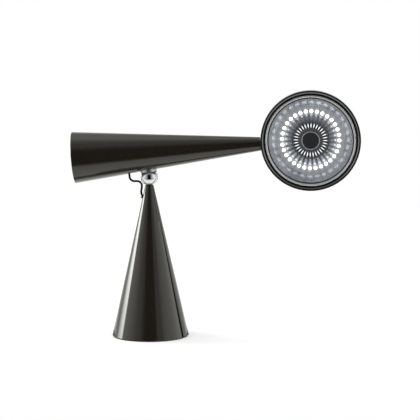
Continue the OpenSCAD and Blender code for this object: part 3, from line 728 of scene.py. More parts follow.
FINISHES: dict[Slot, Finish] = {
    Slot.LACQUER: Lacquer(
        "anthracite_lacquer", (0.0138, 0.0116, 0.0086), 0.05,
        fixed={"Specular Tint": (0.98, 1.0, 0.91, 1.0)},
    ),
    Slot.ANODISED: TurnedMetal(
        "black_anodising", (0.022, 0.022, 0.027), 0.38, marks_per_mm=3.0, depth=0.000006
    ),
    Slot.ALUMINIUM: TurnedMetal(
        "turned_aluminium", (0.95, 0.955, 0.96), 0.45, 1.0, depth=0.000008
    ),
    Slot.REFLECTOR: ReflectorMetal(
        "reflector_sheet", (0.56, 0.59, 0.62), 0.48, 0.85,
        fixed={"Coat IOR": 1.6, "Coat Roughness": 0.1},
    ),
    Slot.CHROME: MirrorMetal("bright_chrome", (0.57, 0.575, 0.58), 0.025, 1.0),
    Slot.STEEL: TurnedMetal("turned_steel", (0.5, 0.51, 0.52), 0.32, 1.0, marks_per_mm=4.0),
    Slot.IRON: Grained(
        "cast_iron", (0.05, 0.05, 0.052), 0.62, 0.6, grain_per_mm=0.9, depth=0.00012
    ),
    Slot.BRASS: TurnedMetal("turned_brass", (0.62, 0.47, 0.2), 0.28, 1.0),
    Slot.RUBBER: Grained(
        "black_rubber", (0.004, 0.004, 0.004), 0.6,
        fixed={"Specular IOR Level": 0.15}, grain_per_mm=3.0,
    ),
    Slot.PLASTIC: Grained(
        "moulded_plastic", (0.016, 0.016, 0.018), 0.42, grain_per_mm=2.5, depth=0.000015
    ),
    Slot.CIRCUIT: CircuitBoard("solder_mask", (0.012, 0.09, 0.03), 0.34),
    Slot.WHITE_BOARD: Grained(
        "white_board", (0.72, 0.74, 0.75), 0.4, grain_per_mm=1.0, tone=0.1
    ),
    Slot.LED: Glow(
        "lit_diode", (0.9, 0.92, 0.95), 0.25, light=(0.95, 0.98, 1.0), strength=1.9,
        unevenness=0.04,
    ),
    Slot.DIFFUSER: RingGlow(
        "lit_diffuser", (0.3, 0.31, 0.32), 0.5, light=(0.93, 0.96, 1.0), strength=1.3
    ),
}
BAND_FINISH = Lacquer(
    "band_lacquer", (0.0138, 0.0122, 0.0098), 0.12,
    fixed={"Specular IOR Level": 0.9, "IOR": 1.75},
)
SOCKET_FINISH = MirrorMetal("satin_chrome", (0.4, 0.405, 0.41), 0.36, 1.0)
BEAD_FINISH = Grained(
    "black_bead", (0.0035, 0.0035, 0.0035), 0.45,
    fixed={"Specular IOR Level": 0.15}, depth=0.000008,
)
HUB_FINISH = HubMetal(
    "hub_anodising", (0.078, 0.078, 0.087), 0.34, marks_per_mm=3.0, depth=0.000006
)


class Piece:
    """One mesh object, worked on step by step as by hand."""

    def __init__(self, name: str, item: bpy.types.Object) -> None:
        """Takes up an object.

        Args:
            name: Name for the object and its mesh.
            item: The object.
        """
        self.item = item
        item.name = name
        item.data.name = name

    def take(self) -> None:
        """Makes the piece the only one selected, and the active one."""
        bpy.ops.object.select_all(action="DESELECT")
        self.item.select_set(True)
        bpy.context.view_layer.objects.active = self.item

    def modify(self, kind: str, **settings: Any) -> None:
        """Adds a modifier with its settings and applies it."""
        self.take()
        modifier = self.item.modifiers.new(kind.lower(), kind)
        for name, value in settings.items():
            setattr(modifier, name, value)
        bpy.ops.object.modifier_apply(modifier=modifier.name)

    def round_edges(self, width: float, limit: float = 32.0, segments: int = 3) -> None:
        """Rounds every edge that is sharper than a limit.

        Args:
            width: Width of the rounding in mm.
            limit: Angle from which an edge counts as sharp.
            segments: Faces across the rounding.
        """
        self.modify(
            "BEVEL", width=width * MM, segments=segments, limit_method="ANGLE",
            angle_limit=math.radians(limit), use_clamp_overlap=True,
        )

    def smooth(self) -> None:
        """Smooth shading across all but the sharp edges, led by the larger faces."""
        self.take()
        bpy.ops.object.shade_smooth_by_angle(angle=math.radians(SHARP))
        self.modify("WEIGHTED_NORMAL", keep_sharp=True, weight=80)

    def put(self, place: Matrix) -> Piece:
        """Moves the piece and leaves its object at the origin.

        Args:
            place: The move.

        Returns:
            The piece.
        """
        self.take()
        self.item.matrix_world = place @ self.item.matrix_world
        bpy.ops.object.transform_apply(location=True, rotation=True, scale=True)
        return self

    def shift(self, x: float, z: float = 0.0) -> Piece:
        """Moves the piece along X and Z by mm."""
        return self.put(Matrix.Translation((x * MM, 0, z * MM)))

    def turn(self, angle: float, about: str = "Z") -> Piece:
        """Turns the piece about one of the three main axes."""
        return self.put(Matrix.Rotation(math.radians(angle), 4, about))

    def cut(self, cutter: Piece) -> None:
        """Cuts another piece out of this one and throws it away."""
        self.modify("BOOLEAN", operation="DIFFERENCE", object=cutter.item, solver="EXACT")
        bpy.data.objects.remove(cutter.item)

    @staticmethod
    def joined(name: str, pieces: list[Piece]) -> Piece:
        """Joins pieces into one.

        Args:
            name: Name of the result.
            pieces: The pieces, of which the first stays.

        Returns:
            The result.
        """
        pieces[0].take()
        for piece in pieces:
            piece.item.select_set(True)
        bpy.ops.object.join()
        return Piece(name, pieces[0].item)

    def copies_round(self, name: str, count: int) -> Piece:
        """Copies the piece round Z, the first copy half a step from X, and joins the copies.

        Args:
            name: Name of the result.
            count: Number of copies.

        Returns:
            All copies as one piece.
        """
        made = []
        for i in range(count):
            twin = self.item.copy()
            twin.data = self.item.data.copy()
            bpy.context.scene.collection.objects.link(twin)
            made.append(Piece(name, twin).turn(180 / count + i * 360 / count))
        bpy.data.objects.remove(self.item)
        return Piece.joined(name, made)

    def dress(self, axis: Axis, slot: Slot, finish: Finish | None = None) -> None:
        """Gives the piece the finish of a slot, or its own shade of it.

        Args:
            axis: Axis that its marks run round.
            slot: The slot.
            finish: The piece's own finish, if it isn't the slot's.
        """
        self.item.data.materials.clear()
        self.item.data.materials.append((finish or FINISHES[slot]).material(axis))

    def dress_part(self, axis: Axis, finish: Finish, wanted: Callable[[Vector], bool]) -> None:
        """Gives some faces a second finish.

        Args:
            axis: Axis that its marks run round.
            finish: The finish.
            wanted: Says of a face's middle, in metres as seen from the axis, if it is wanted.
        """
        self.item.data.materials.append(finish.material(axis))
        place = axis.matrix().inverted()
        for face in self.item.data.polygons:
            if wanted(place @ face.center):
                face.material_index = 1


def started(name: str) -> Piece:
    """The primitive that was just added, with its place in its mesh."""
    bpy.ops.object.transform_apply(location=True, rotation=True, scale=True)
    return Piece(name, bpy.context.active_object)


def turned(
    name: str, outline: Outline, sides: int = 192, edge: float = 0.0, segments: int = 3
) -> Piece:
    """A piece turned about Z from half its section.

    A ring is drawn out from point to point of the section. A section that starts and ends on the
    axis makes a solid, and any other is closed into a ring.

    Args:
        name: Name of the piece.
        outline: The section as (distance from the axis, height) in mm.
        sides: Number of sides.
        edge: Width of the rounding on sharp edges in mm, or 0 for none.
        segments: Faces across that rounding.

    Returns:
        The piece, smooth shaded, with its Z on the axis.
    """
    on_axis = outline[0][0] == 0
    path = outline[1:] if on_axis else [*outline, outline[0]]
    bpy.ops.object.select_all(action="DESELECT")
    (radius, height), *rest = path
    bpy.ops.mesh.primitive_circle_add(
        vertices=sides, radius=radius * MM, fill_type="NOTHING", location=(0, 0, height * MM)
    )
    piece = started(name)
    bpy.ops.object.mode_set(mode="EDIT")
    bpy.ops.mesh.select_all(action="SELECT")
    for next_radius, next_height in rest:
        draw_ring(radius, height, next_radius, next_height)
        radius, height = next_radius, next_height
    if on_axis:
        bpy.ops.mesh.select_all(action="DESELECT")
        bpy.ops.mesh.select_mode(type="EDGE")
        bpy.ops.mesh.select_non_manifold(
            extend=False, use_wire=False, use_boundary=True, use_multi_face=False,
            use_non_contiguous=False, use_verts=False,
        )
        draw_ring(*path[0], *outline[0])
    clean_mesh(TURNED_DOUBLES)
    if edge > 0:
        piece.round_edges(edge, segments=segments)
    piece.smooth()
    return piece


def clean_mesh(near: float) -> None:
    """Merges doubles nearer than so many metres, turns the faces out and leaves edit mode."""
    bpy.ops.mesh.select_all(action="SELECT")
    bpy.ops.mesh.remove_doubles(threshold=near)
    bpy.ops.mesh.normals_make_consistent(inside=False)
    bpy.ops.object.mode_set(mode="OBJECT")


def draw_ring(radius: float, height: float, next_radius: float, next_height: float) -> None:
    """Extrudes the selected ring and sizes the new one, or gathers it into a pole on the axis.

    Args:
        radius: Radius of the selected ring in mm.
        height: Its height in mm.
        next_radius: Radius of the new ring in mm.
        next_height: Height of the new ring in mm.
    """
    rise = (next_height - height) * MM
    bpy.ops.mesh.extrude_edges_move(TRANSFORM_OT_translate={"value": (0, 0, rise)})
    if next_radius == 0:
        bpy.ops.mesh.merge(type="CENTER")
        return
    share = next_radius / radius
    bpy.ops.transform.resize(
        value=(share, share, 1), center_override=(0, 0, next_height * MM)
    )


def bar(name: str, radius: float, low: float, high: float, sides: int = 48) -> Piece:
    """A plain round or polygonal bar along Z, for use as a cutter.

    Args:
        name: Name of the bar.
        radius: Radius in mm.
        low: Lower end in mm.
        high: Upper end in mm.
        sides: Number of sides.

    Returns:
        The bar.
    """
    bpy.ops.object.select_all(action="DESELECT")
    bpy.ops.mesh.primitive_cylinder_add(
        vertices=sides, radius=radius * MM, depth=(high - low) * MM,
        location=(0, 0, (low + high) / 2 * MM),
    )
    return started(name)


def petal(name: str, inner: Point, outer: Point, low: float, high: float) -> Piece:
    """A bar with two round ends of different width, lying along X, for use as a cutter.

    Args:
        name: Name of the bar.
        inner: Distance from the axis and width of the inner end in mm.
        outer: The same for the outer end.
        low: Lower face in mm.
        high: Upper face in mm.

    Returns:
        The bar.
    """
    made = bar(name, inner[1] / 2, low, high, 24)
    bpy.ops.object.mode_set(mode="EDIT")
    bpy.ops.mesh.select_mode(type="VERT")
    bpy.ops.mesh.select_all(action="DESELECT")
    mesh = bmesh.from_edit_mesh(made.item.data)
    for vert in mesh.verts:
        vert.select_set(vert.co.x > 0.01 * MM)
    mesh.select_flush_mode()
    bmesh.update_edit_mesh(made.item.data)
    share = outer[1] / inner[1]
    bpy.ops.transform.resize(value=(share, share, 1), center_override=(0, 0, 0))
    bpy.ops.transform.translate(value=((outer[0] - inner[0]) * MM, 0, 0))
    bpy.ops.object.mode_set(mode="OBJECT")
    return made.shift(inner[0])


class SubAssembly:
    """A group of pieces that ride on one body and are turned about its axis."""

    body: str

    def __init__(self, axes: dict[str, Axis]) -> None:
        """Keeps the group's own axis, out of those of all bodies."""
        self.axis = axes[self.body]

    def build(self) -> None:
        """Makes the group's pieces."""
        raise NotImplementedError

    def fit(
        self, piece: Piece, slot: Slot, *stands_for: str, axis: Axis | None = None,
        body: str | None = None, finish: Finish | None = None,
    ) -> None:
        """Puts a piece on its axis, dresses it and lets it ride.

        Args:
            piece: The piece, made with its Z on the axis.
            slot: Its material slot.
            stands_for: CAD nodes that it replaces.
            axis: Where it goes, if not on the group's own axis.
            body: Body that it rides on, if not the group's own.
            finish: Its own finish, if it isn't the slot's.
        """
        place = axis or self.axis
        piece.put(place.matrix())
        piece.dress(place, slot, finish)
        item = piece.item
        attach(item, body or self.body)
        if stands_for:
            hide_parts(*stands_for)
        LOG.info("%s: %d faces on %s", item.name, len(item.data.polygons), body or self.body)


@dataclass
class BaseSizes:
    """Sizes of the base in mm."""

    foot: float = 131.0
    top: float = 259.9
    neck: float = 14.0
    neck_length: float = 12.5
    wall: float = 2.5
    bore: float = 9.1
    bore_fall: float = 0.9
    pad: float = 1.5
    pad_inset: float = 1.2
    pad_chamfer: float = 0.3
    pad_rings: int = 5
    ring_inset: float = 8.0
    ring_pitch: float = 11.0
    groove: tuple[float, float, float] = (1.0, 0.6, 0.4)
    inlet_height: float = 20.0
    inlet_barrel: float = 11.0
    inlet_collar: float = 15.0
    inlet_bore: float = 5.6
    inlet_pin: float = 1.9
    inlet_proud: float = 1.2
    inlet_depth: float = 9.0
    inlet_length: float = 14.0
    pin_depth: float = 0.5
    lead_height: float = 240.0
    lead_lean: float = 32.0
    lead_hole: float = 2.9

    @property
    def slope(self) -> float:
        """Half-angle of the cone in radians."""
        return math.atan((self.foot - self.neck) / 2 / (self.top - self.pad))

    def radius(self, height: float) -> float:
        """Outer radius at a height, both in mm."""
        return self.neck / 2 + (self.top - height) * math.tan(self.slope)


class Base(SubAssembly):
    """The cone that the lamp stands on, with its pad, power inlet and grommet."""

    body = "base"
    sizes = BaseSizes()

    def __init__(self, axes: dict[str, Axis]) -> None:
        """Works out the axes of the inlet and of the lead's hole.

        Args:
            axes: The axis of each body.
        """
        super().__init__(axes)
        sizes = self.sizes
        slope, lean = sizes.slope, math.radians(sizes.lead_lean)
        self.inlet = Axis(
            "inlet",
            Vector((0, sizes.radius(sizes.inlet_height) * MM, sizes.inlet_height * MM)),
            Vector((0, math.cos(slope), math.sin(slope))),
            Vector((1, 0, 0)),
        )
        self.lead = Axis(
            "lead_hole",
            Vector((-sizes.radius(sizes.lead_height) * MM, 0, sizes.lead_height * MM)),
            Vector((-math.sin(lean), 0, math.cos(lean))),
            Vector((0, 1, 0)),
        )

    def build(self) -> None:
        """Makes the base."""
        self.build_cone()
        self.build_pad()
        self.build_inlet()
        grommet = turned("lower_lead_grommet", GROMMET, 48, edge=0.25)
        self.fit(grommet, Slot.RUBBER, "lower_grommet", axis=self.lead)

    def build_cone(self) -> None:
        """The lacquered cone, drilled for the inlet and the lead."""
        sizes = self.sizes
        neck_low = sizes.top - sizes.neck_length
        bore = sizes.bore / 2
        inside = sizes.wall / math.cos(sizes.slope)
        outline = [
            (sizes.radius(sizes.pad) - inside, sizes.pad), (sizes.radius(sizes.pad), sizes.pad),
            *slant(sizes.radius, sizes.pad, sizes.top, 24),
            (sizes.neck / 2, sizes.top), (bore, sizes.top - sizes.bore_fall), (bore, neck_low),
            (sizes.radius(neck_low) - inside, neck_low),
        ]
        cone = turned("base_housing", outline, 256, edge=0.35)
        holes = ((self.inlet, sizes.inlet_barrel / 2 + 0.1), (self.lead, sizes.lead_hole))
        for place, radius in holes:
            cone.cut(bar("drill", radius, -8, 8).put(place.matrix()))
        self.fit(cone, Slot.LACQUER, "base_cone")

    def build_pad(self) -> None:
        """The rubber pad, with a chamfered edge and shallow rings on its underside."""
        sizes = self.sizes
        rim = sizes.foot / 2 - sizes.pad_inset
        chamfer = sizes.pad_chamfer
        outline: Outline = [
            (0, sizes.pad), (rim - chamfer, sizes.pad), (rim, sizes.pad - chamfer),
            (rim, chamfer), (rim - chamfer, 0),
        ]
        mouth, bottom, depth = sizes.groove
        for ring in range(sizes.pad_rings):
            middle = rim - sizes.ring_inset - ring * sizes.ring_pitch
            outline += [
                (middle + mouth, 0), (middle + bottom, depth), (middle - bottom, depth),
                (middle - mouth, 0),
            ]
        outline.append((0, 0))
        self.fit(turned("rubber_foot", outline, 128), Slot.RUBBER, "foot_pad")

    def build_inlet(self) -> None:
        """The power inlet: a collar, a barrel and the pin in its bore."""
        sizes = self.sizes
        bore, pin = sizes.inlet_bore / 2, sizes.inlet_pin / 2
        collar, barrel = sizes.inlet_collar / 2, sizes.inlet_barrel / 2
        proud, tip = sizes.inlet_proud, -sizes.pin_depth
        deep, back = -sizes.inlet_depth, -sizes.inlet_length
        outline = [
            (0, tip), (pin, tip), (pin, deep), (bore, deep), (bore, proud), (collar, proud),
            (collar, -proud), (barrel, -proud), (barrel, back), (0, back),
        ]
        inlet = turned("inlet_socket", outline, 64, edge=0.25)
        self.fit(inlet, Slot.PLASTIC, "power_inlet", axis=self.inlet)


class BallJoint(SubAssembly):
    """The chromed ball with its stud."""

    body = "ball"
    radius: float = 15.0
    stud: float = 3.0
    stud_length: float = 35.0

    def build(self) -> None:
        """Makes the ball."""
        edge = math.degrees(math.acos(self.stud / self.radius))
        outline = [
            (0.0, self.radius), *arc((0, 0), self.radius, 88, -edge, 60),
            (self.stud, -self.stud_length), (0, -self.stud_length),
        ]
        self.fit(turned("chromed_ball", outline, 128), Slot.CHROME, "ball_stud")


@dataclass
class ArmSizes:
    """Sizes of the arm in mm, along its axis from the point above the ball."""

    wide: float = 87.5
    tip: float = 23.3
    back: float = 126.0
    front: float = 192.0
    wall: float = 2.0
    cap: float = 4.0
    cap_recess: float = 1.0
    cap_dish: float = 1.5
    cap_edge: float = 5.0
    screw_hole: float = 2.6
    screw_seat: float = 5.1
    screw_key: float = 1.75
    key_depth: float = 1.4
    collar: float = 1.5
    ring_low: float = 9.3
    ring_top: float = 14.5
    ring_outer: float = 14.0
    ring_mouth: float = 12.65
    ring_inner: float = 11.9
    lip_inner: float = 12.12
    lip_outer: float = 13.5
    lip_drop: float = 1.15
    skin: float = 11.5
    lead_back: float = 33.0

    @property
    def slope(self) -> float:
        """Half-angle of the cone in radians."""
        return math.atan((self.wide - self.tip) / 2 / (self.back + self.front))

    def radius(self, along: float) -> float:
        """Outer radius at a place along the axis, both in mm."""
        return self.wide / 2 - (along + self.back) * math.tan(self.slope)


class Arm(SubAssembly):
    """The tapered arm with its end cap, its socket ring and the collar at its tip."""

    body = "arm"
    sizes = ArmSizes()

    def __init__(self, axes: dict[str, Axis]) -> None:
        """Works out the axes of the socket and of the lead's hole, both square to the skin.

        Args:
            axes: The axis of each body.
        """
        super().__init__(axes)
        way, down = self.axis.along, self.axis.across
        slope = self.sizes.slope
        up = (-down * math.cos(slope) - way * math.sin(slope)).normalized()
        across = (way * math.cos(slope) - down * math.sin(slope)).normalized()
        self.socket = Axis("socket", axes["ball"].origin, up, across)
        hole = self.socket.point(-self.sizes.lead_back, self.sizes.skin)
        self.lead = Axis("arm_lead_hole", hole, -up, across)

    def build(self) -> None:
        """Makes the arm."""
        self.build_cone()
        self.build_cap()
        self.build_socket()
        grommet = turned("upper_lead_grommet", GROMMET, 48, edge=0.25)
        self.fit(grommet, Slot.RUBBER, "upper_grommet", axis=self.lead)
        tip, low = self.sizes.tip / 2, self.sizes.front
        high = low + self.sizes.collar
        outline = [(SPINDLE_HOLE, low), (tip, low), (tip, high), (SPINDLE_HOLE, high)]
        collar = turned("arm_tip_collar", outline, 128, edge=0.3)
        self.fit(collar, Slot.LACQUER, "tip_collar")

    def build_cone(self) -> None:
        """The lacquered cone of the arm with a softened rim."""
        sizes = self.sizes
        inside = sizes.wall / math.cos(sizes.slope)
        back, front, cap = -sizes.back, sizes.front, sizes.cap - sizes.back
        outline = [
            (sizes.radius(back) - inside, back), (sizes.radius(back), back),
            *slant(sizes.radius, back, front, 30),
            (sizes.radius(front), front), (sizes.radius(front) - inside, front),
            (sizes.radius(cap) - inside, cap),
        ]
        self.fit(turned("arm_housing", outline, 256, edge=0.5), Slot.LACQUER, "arm_cone")

    def build_cap(self) -> None:
        """The dished cap in the wide end and the screw in its middle."""
        sizes = self.sizes
        low = sizes.cap_recess - sizes.back
        face = sizes.radius(low) - sizes.wall / math.cos(sizes.slope) - 0.1
        dish, hole = low + sizes.cap_dish, sizes.screw_hole
        outline = [
            (hole, dish + 2.5), (sizes.screw_seat, dish), (face - sizes.cap_edge - 4, dish),
            (face - sizes.cap_edge, low), (face, low), (face - 0.4, low + sizes.cap),
            (hole, low + sizes.cap),
        ]
        self.fit(turned("dished_end_cap", outline, edge=0.5), Slot.LACQUER, "end_cap")
        screw = turned("cap_fixing_screw", CAP_SCREW, 64, edge=0.15)
        screw.cut(bar("key", sizes.screw_key, -1, sizes.key_depth, 6))
        screw.smooth()
        self.fit(screw, Slot.STEEL, "cap_screw", axis=self.axis.moved("cap_screw", dish))

    def build_socket(self) -> None:
        """The bright ring round the ball and the lip in its mouth."""
        sizes = self.sizes
        low, inner, outer = sizes.ring_low, sizes.lip_inner, sizes.lip_outer
        outline = [
            (sizes.ring_mouth, low), (sizes.ring_outer, low), (sizes.ring_outer, sizes.ring_top),
            (sizes.ring_inner, sizes.ring_top), (sizes.ring_inner, low + 0.7),
        ]
        ring = turned("bright_socket_ring", outline, 128, edge=0.3)
        self.fit(ring, Slot.CHROME, "socket_ring", axis=self.socket, finish=SOCKET_FINISH)
        outline = [
            (inner, low - 0.1), (12.75, low - sizes.lip_drop), (outer, low - sizes.lip_drop),
            (outer, low), (12.6, low + 0.4), (inner, low + 0.4),
        ]
        lip = turned("socket_lip", outline, 128, edge=0.15)
        self.fit(lip, Slot.PLASTIC, axis=self.socket)


@dataclass
class HeadSizes:
    """Sizes of the head in mm, forwards from the arm's axis."""

    width: float = 169.0
    front: float = 18.5
    back: float = 18.0
    wall: float = 1.4
    back_round: float = 8.0
    bead: float = 1.5
    bead_proud: float = 0.3
    cover: float = 88.0
    cover_wall: float = 1.6
    cover_lap: float = 6.0
    cover_round: float = 0.8
    vents: int = 16
    vent_in: Point = (16.0, 2.4)
    vent_out: Point = (31.0, 2.4)
    band: float = 5.7
    band_lip: float = 1.1
    band_slope: Point = (1.7, 1.4)
    band_fall: float = 0.8
    shelf_depth: float = 6.5
    shelf: float = 1.4
    trim_width: float = 3.6
    trim_height: float = 3.3
    screw_head: float = 1.2
    screw_shank: float = 0.8
    screw_key: float = 0.65
    screw_inset: float = 0.9
    gap: float = 0.4
    mouth_step: float = 2.6
    floor_depth: float = 28.0
    sheet: float = 1.2
    floor_out: float = 58.2
    floor_in: float = 43.0
    cone_sag: float = 0.9
    diodes: int = 32
    diode_circle: float = 48.7
    diode_width: float = 7.0
    diode_height: float = 1.8
    dome_width: float = 6.2
    dome_height: float = 2.0
    dome_foot: float = 0.6
    cup_wall: float = 0.5
    cup_depth: float = 0.7
    board: float = 1.6
    hub: float = 30.9
    hub_edge_depth: float = 13.7
    hub_edge: float = 2.5
    fin_depth: float = 16.0
    fin_height: float = 3.5
    slot_in: Point = (21.3, 1.4)
    slot_out: Point = (27.5, 2.0)
    boss_depth: float = 10.1
    boss: float = 17.2
    boss_slope: float = 3.9
    hub_wall: float = 2.0
    diffuser: float = 1.5
    button: float = 13.8
    button_gap: float = 0.3
    button_thickness: float = 4.0
    button_round: float = 0.8
    dish_edge: float = 2.2
    dish_knee: Point = (5.0, 0.35)
    dish_depth: float = 0.6
    button_ring: float = 15.7
    ring_height: float = 3.0
    ring_seat_depth: float = 2.4
    stem: float = 4.0
    stem_length: float = 6.0

    def __post_init__(self) -> None:
        """Works out the radii and places that follow from the sizes."""
        self.rim = self.width / 2
        self.inside = self.rim - self.wall
        self.shelf_top = self.front - self.shelf_depth
        self.band_in = self.inside - 0.1 - self.band
        self.trim_out = self.band_in - self.gap
        self.trim_in = self.trim_out - self.trim_width
        self.mouth = self.trim_in - self.mouth_step
        self.floor = self.front - self.floor_depth
        self.board_top = self.floor - self.sheet
        self.boss_top = self.front - self.boss_depth
        self.ring_seat = self.boss_top - self.ring_seat_depth
        self.button_hole = self.button + self.button_gap


class Head(SubAssembly):
    """The round head: shell, dark band, bright ring and the cover on its back."""

    body = "head"
    sizes = HeadSizes()

    def build(self) -> None:
        """Makes the head."""
        self.build_shell()
        self.build_band()
        self.build_bright_ring()
        self.build_cover()

    def build_shell(self) -> None:
        """The lacquered shell with a bead round its rim and a rounded back edge."""
        sizes = self.sizes
        bead_out = sizes.rim + sizes.bead_proud - sizes.bead
        bead_up = sizes.front - sizes.bead
        opening = sizes.cover / 2 - sizes.cover_lap
        corner = (sizes.rim - sizes.back_round, sizes.back_round - sizes.back)
        outline = [
            (opening, sizes.wall - sizes.back), (opening, -sizes.back),
            *arc(corner, sizes.back_round, -90, 0, 12),
            (sizes.rim, 0), (sizes.rim, bead_up - 2.5),
            *arc((bead_out, bead_up), sizes.bead, -30, 180, 20),
            (sizes.inside, bead_up - 1), (sizes.inside, 0),
            *arc(corner, sizes.back_round - sizes.wall, 0, -90, 8),
        ]
        shell = turned("head_housing", outline, 256, edge=0.3)
        shell.cut(bar("drill", SPINDLE_HOLE, sizes.rim - 12, sizes.rim + 12).turn(-90, "Y"))
        shell.smooth()
        self.fit(shell, Slot.LACQUER, "head_shell")
        low = (bead_up - sizes.bead * 0.5) * MM
        shell.dress_part(self.axis, BEAD_FINISH, lambda spot: spot.z > low)

    def build_band(self) -> None:
        """The dark band inside the rim, stepped down to the shelf."""
        sizes = self.sizes
        out, top = sizes.inside - 0.1, sizes.front - 2 * sizes.bead + 0.1
        low = sizes.shelf_top - sizes.shelf
        wide, drop = sizes.band_slope
        crest = out - sizes.band_lip
        outline = [
            (out, low), (out, top), (crest, top), (crest - wide, top - drop),
            (sizes.band_in, top - drop - sizes.band_fall), (sizes.band_in, sizes.shelf_top),
            (sizes.mouth + 0.8, sizes.shelf_top), (sizes.mouth + 0.8, low),
        ]
        band = turned("dark_band", outline, 256, edge=0.25)
        self.fit(band, Slot.LACQUER, "bezel_ring", finish=BAND_FINISH)
        flat = (crest - wide) * MM
        band.dress_part(self.axis, BEAD_FINISH, lambda spot: spot.to_2d().length < flat)

    def build_bright_ring(self) -> None:
        """The bright ring with its half-round front and its two screws."""
        sizes = self.sizes
        low = sizes.shelf_top + sizes.sheet
        seat, top = low + 1, low + sizes.trim_height - 0.5
        half = sizes.trim_width / 2
        middle = (sizes.trim_in + half, low + sizes.trim_height - half)
        outline = [(sizes.trim_in, low), (sizes.trim_out, low), *arc(middle, half, 0, 180, 16)]
        ring = turned("bright_ring", outline, 256)
        head, shank = sizes.screw_head, sizes.screw_shank
        section = [
            (0, low - 3.5), (shank, low - 3.5), (shank, seat), (head, seat), (head, top), (0, top),
        ]
        screws = []
        for side in (-1, 1):
            spot = side * (sizes.trim_out - sizes.screw_inset)
            ring.cut(bar("drill", 1.25, seat, low + 5, 32).shift(spot))
            screw = turned("screw", section, 48, edge=0.2)
            screw.cut(bar("key", sizes.screw_key, top - (top - seat) * 0.55, top + 1, 6))
            screw.smooth()
            screws.append(screw.shift(spot))
        self.fit(ring, Slot.ALUMINIUM, "trim_ring")
        self.fit(Piece.joined("bright_ring_screws", screws), Slot.STEEL, "trim_screws")

    def build_cover(self) -> None:
        """The vented cover on the back and its screws."""
        sizes = self.sizes
        rim, back = sizes.cover / 2, -sizes.back
        low, lip = back - sizes.cover_wall, rim - sizes.cover_lap
        soft = sizes.cover_round
        outline = [
            (0, low), (rim - soft, low), *arc((rim - soft, low + soft), soft, -90, 90, 8),
            (lip - 0.1, back), (lip - 0.1, sizes.wall + back),
            (lip - 1.6, sizes.wall + back), (lip - 1.6, back), (0, back),
        ]
        cover = turned("vented_cover", outline)
        vent = petal("vent", sizes.vent_in, sizes.vent_out, low - 1, back + 1)
        cover.cut(vent.copies_round("vents", sizes.vents))
        cover.round_edges(0.25, 50, 2)
        cover.smooth()
        self.fit(cover, Slot.LACQUER, "back_cover")
        screw = turned("screw", COVER_SCREW, 48)
        for quarter in (0, 90):
            screw.cut(petal("slot", (-1.1, 0.5), (1.1, 0.5), -4, -2.3).turn(quarter))
        screw.smooth()
        screw.shift(rim - sizes.cover_lap / 2, back)
        screws = screw.copies_round("cover_fixing_screws", 3)
        self.fit(screws, Slot.STEEL, "cover_screws")


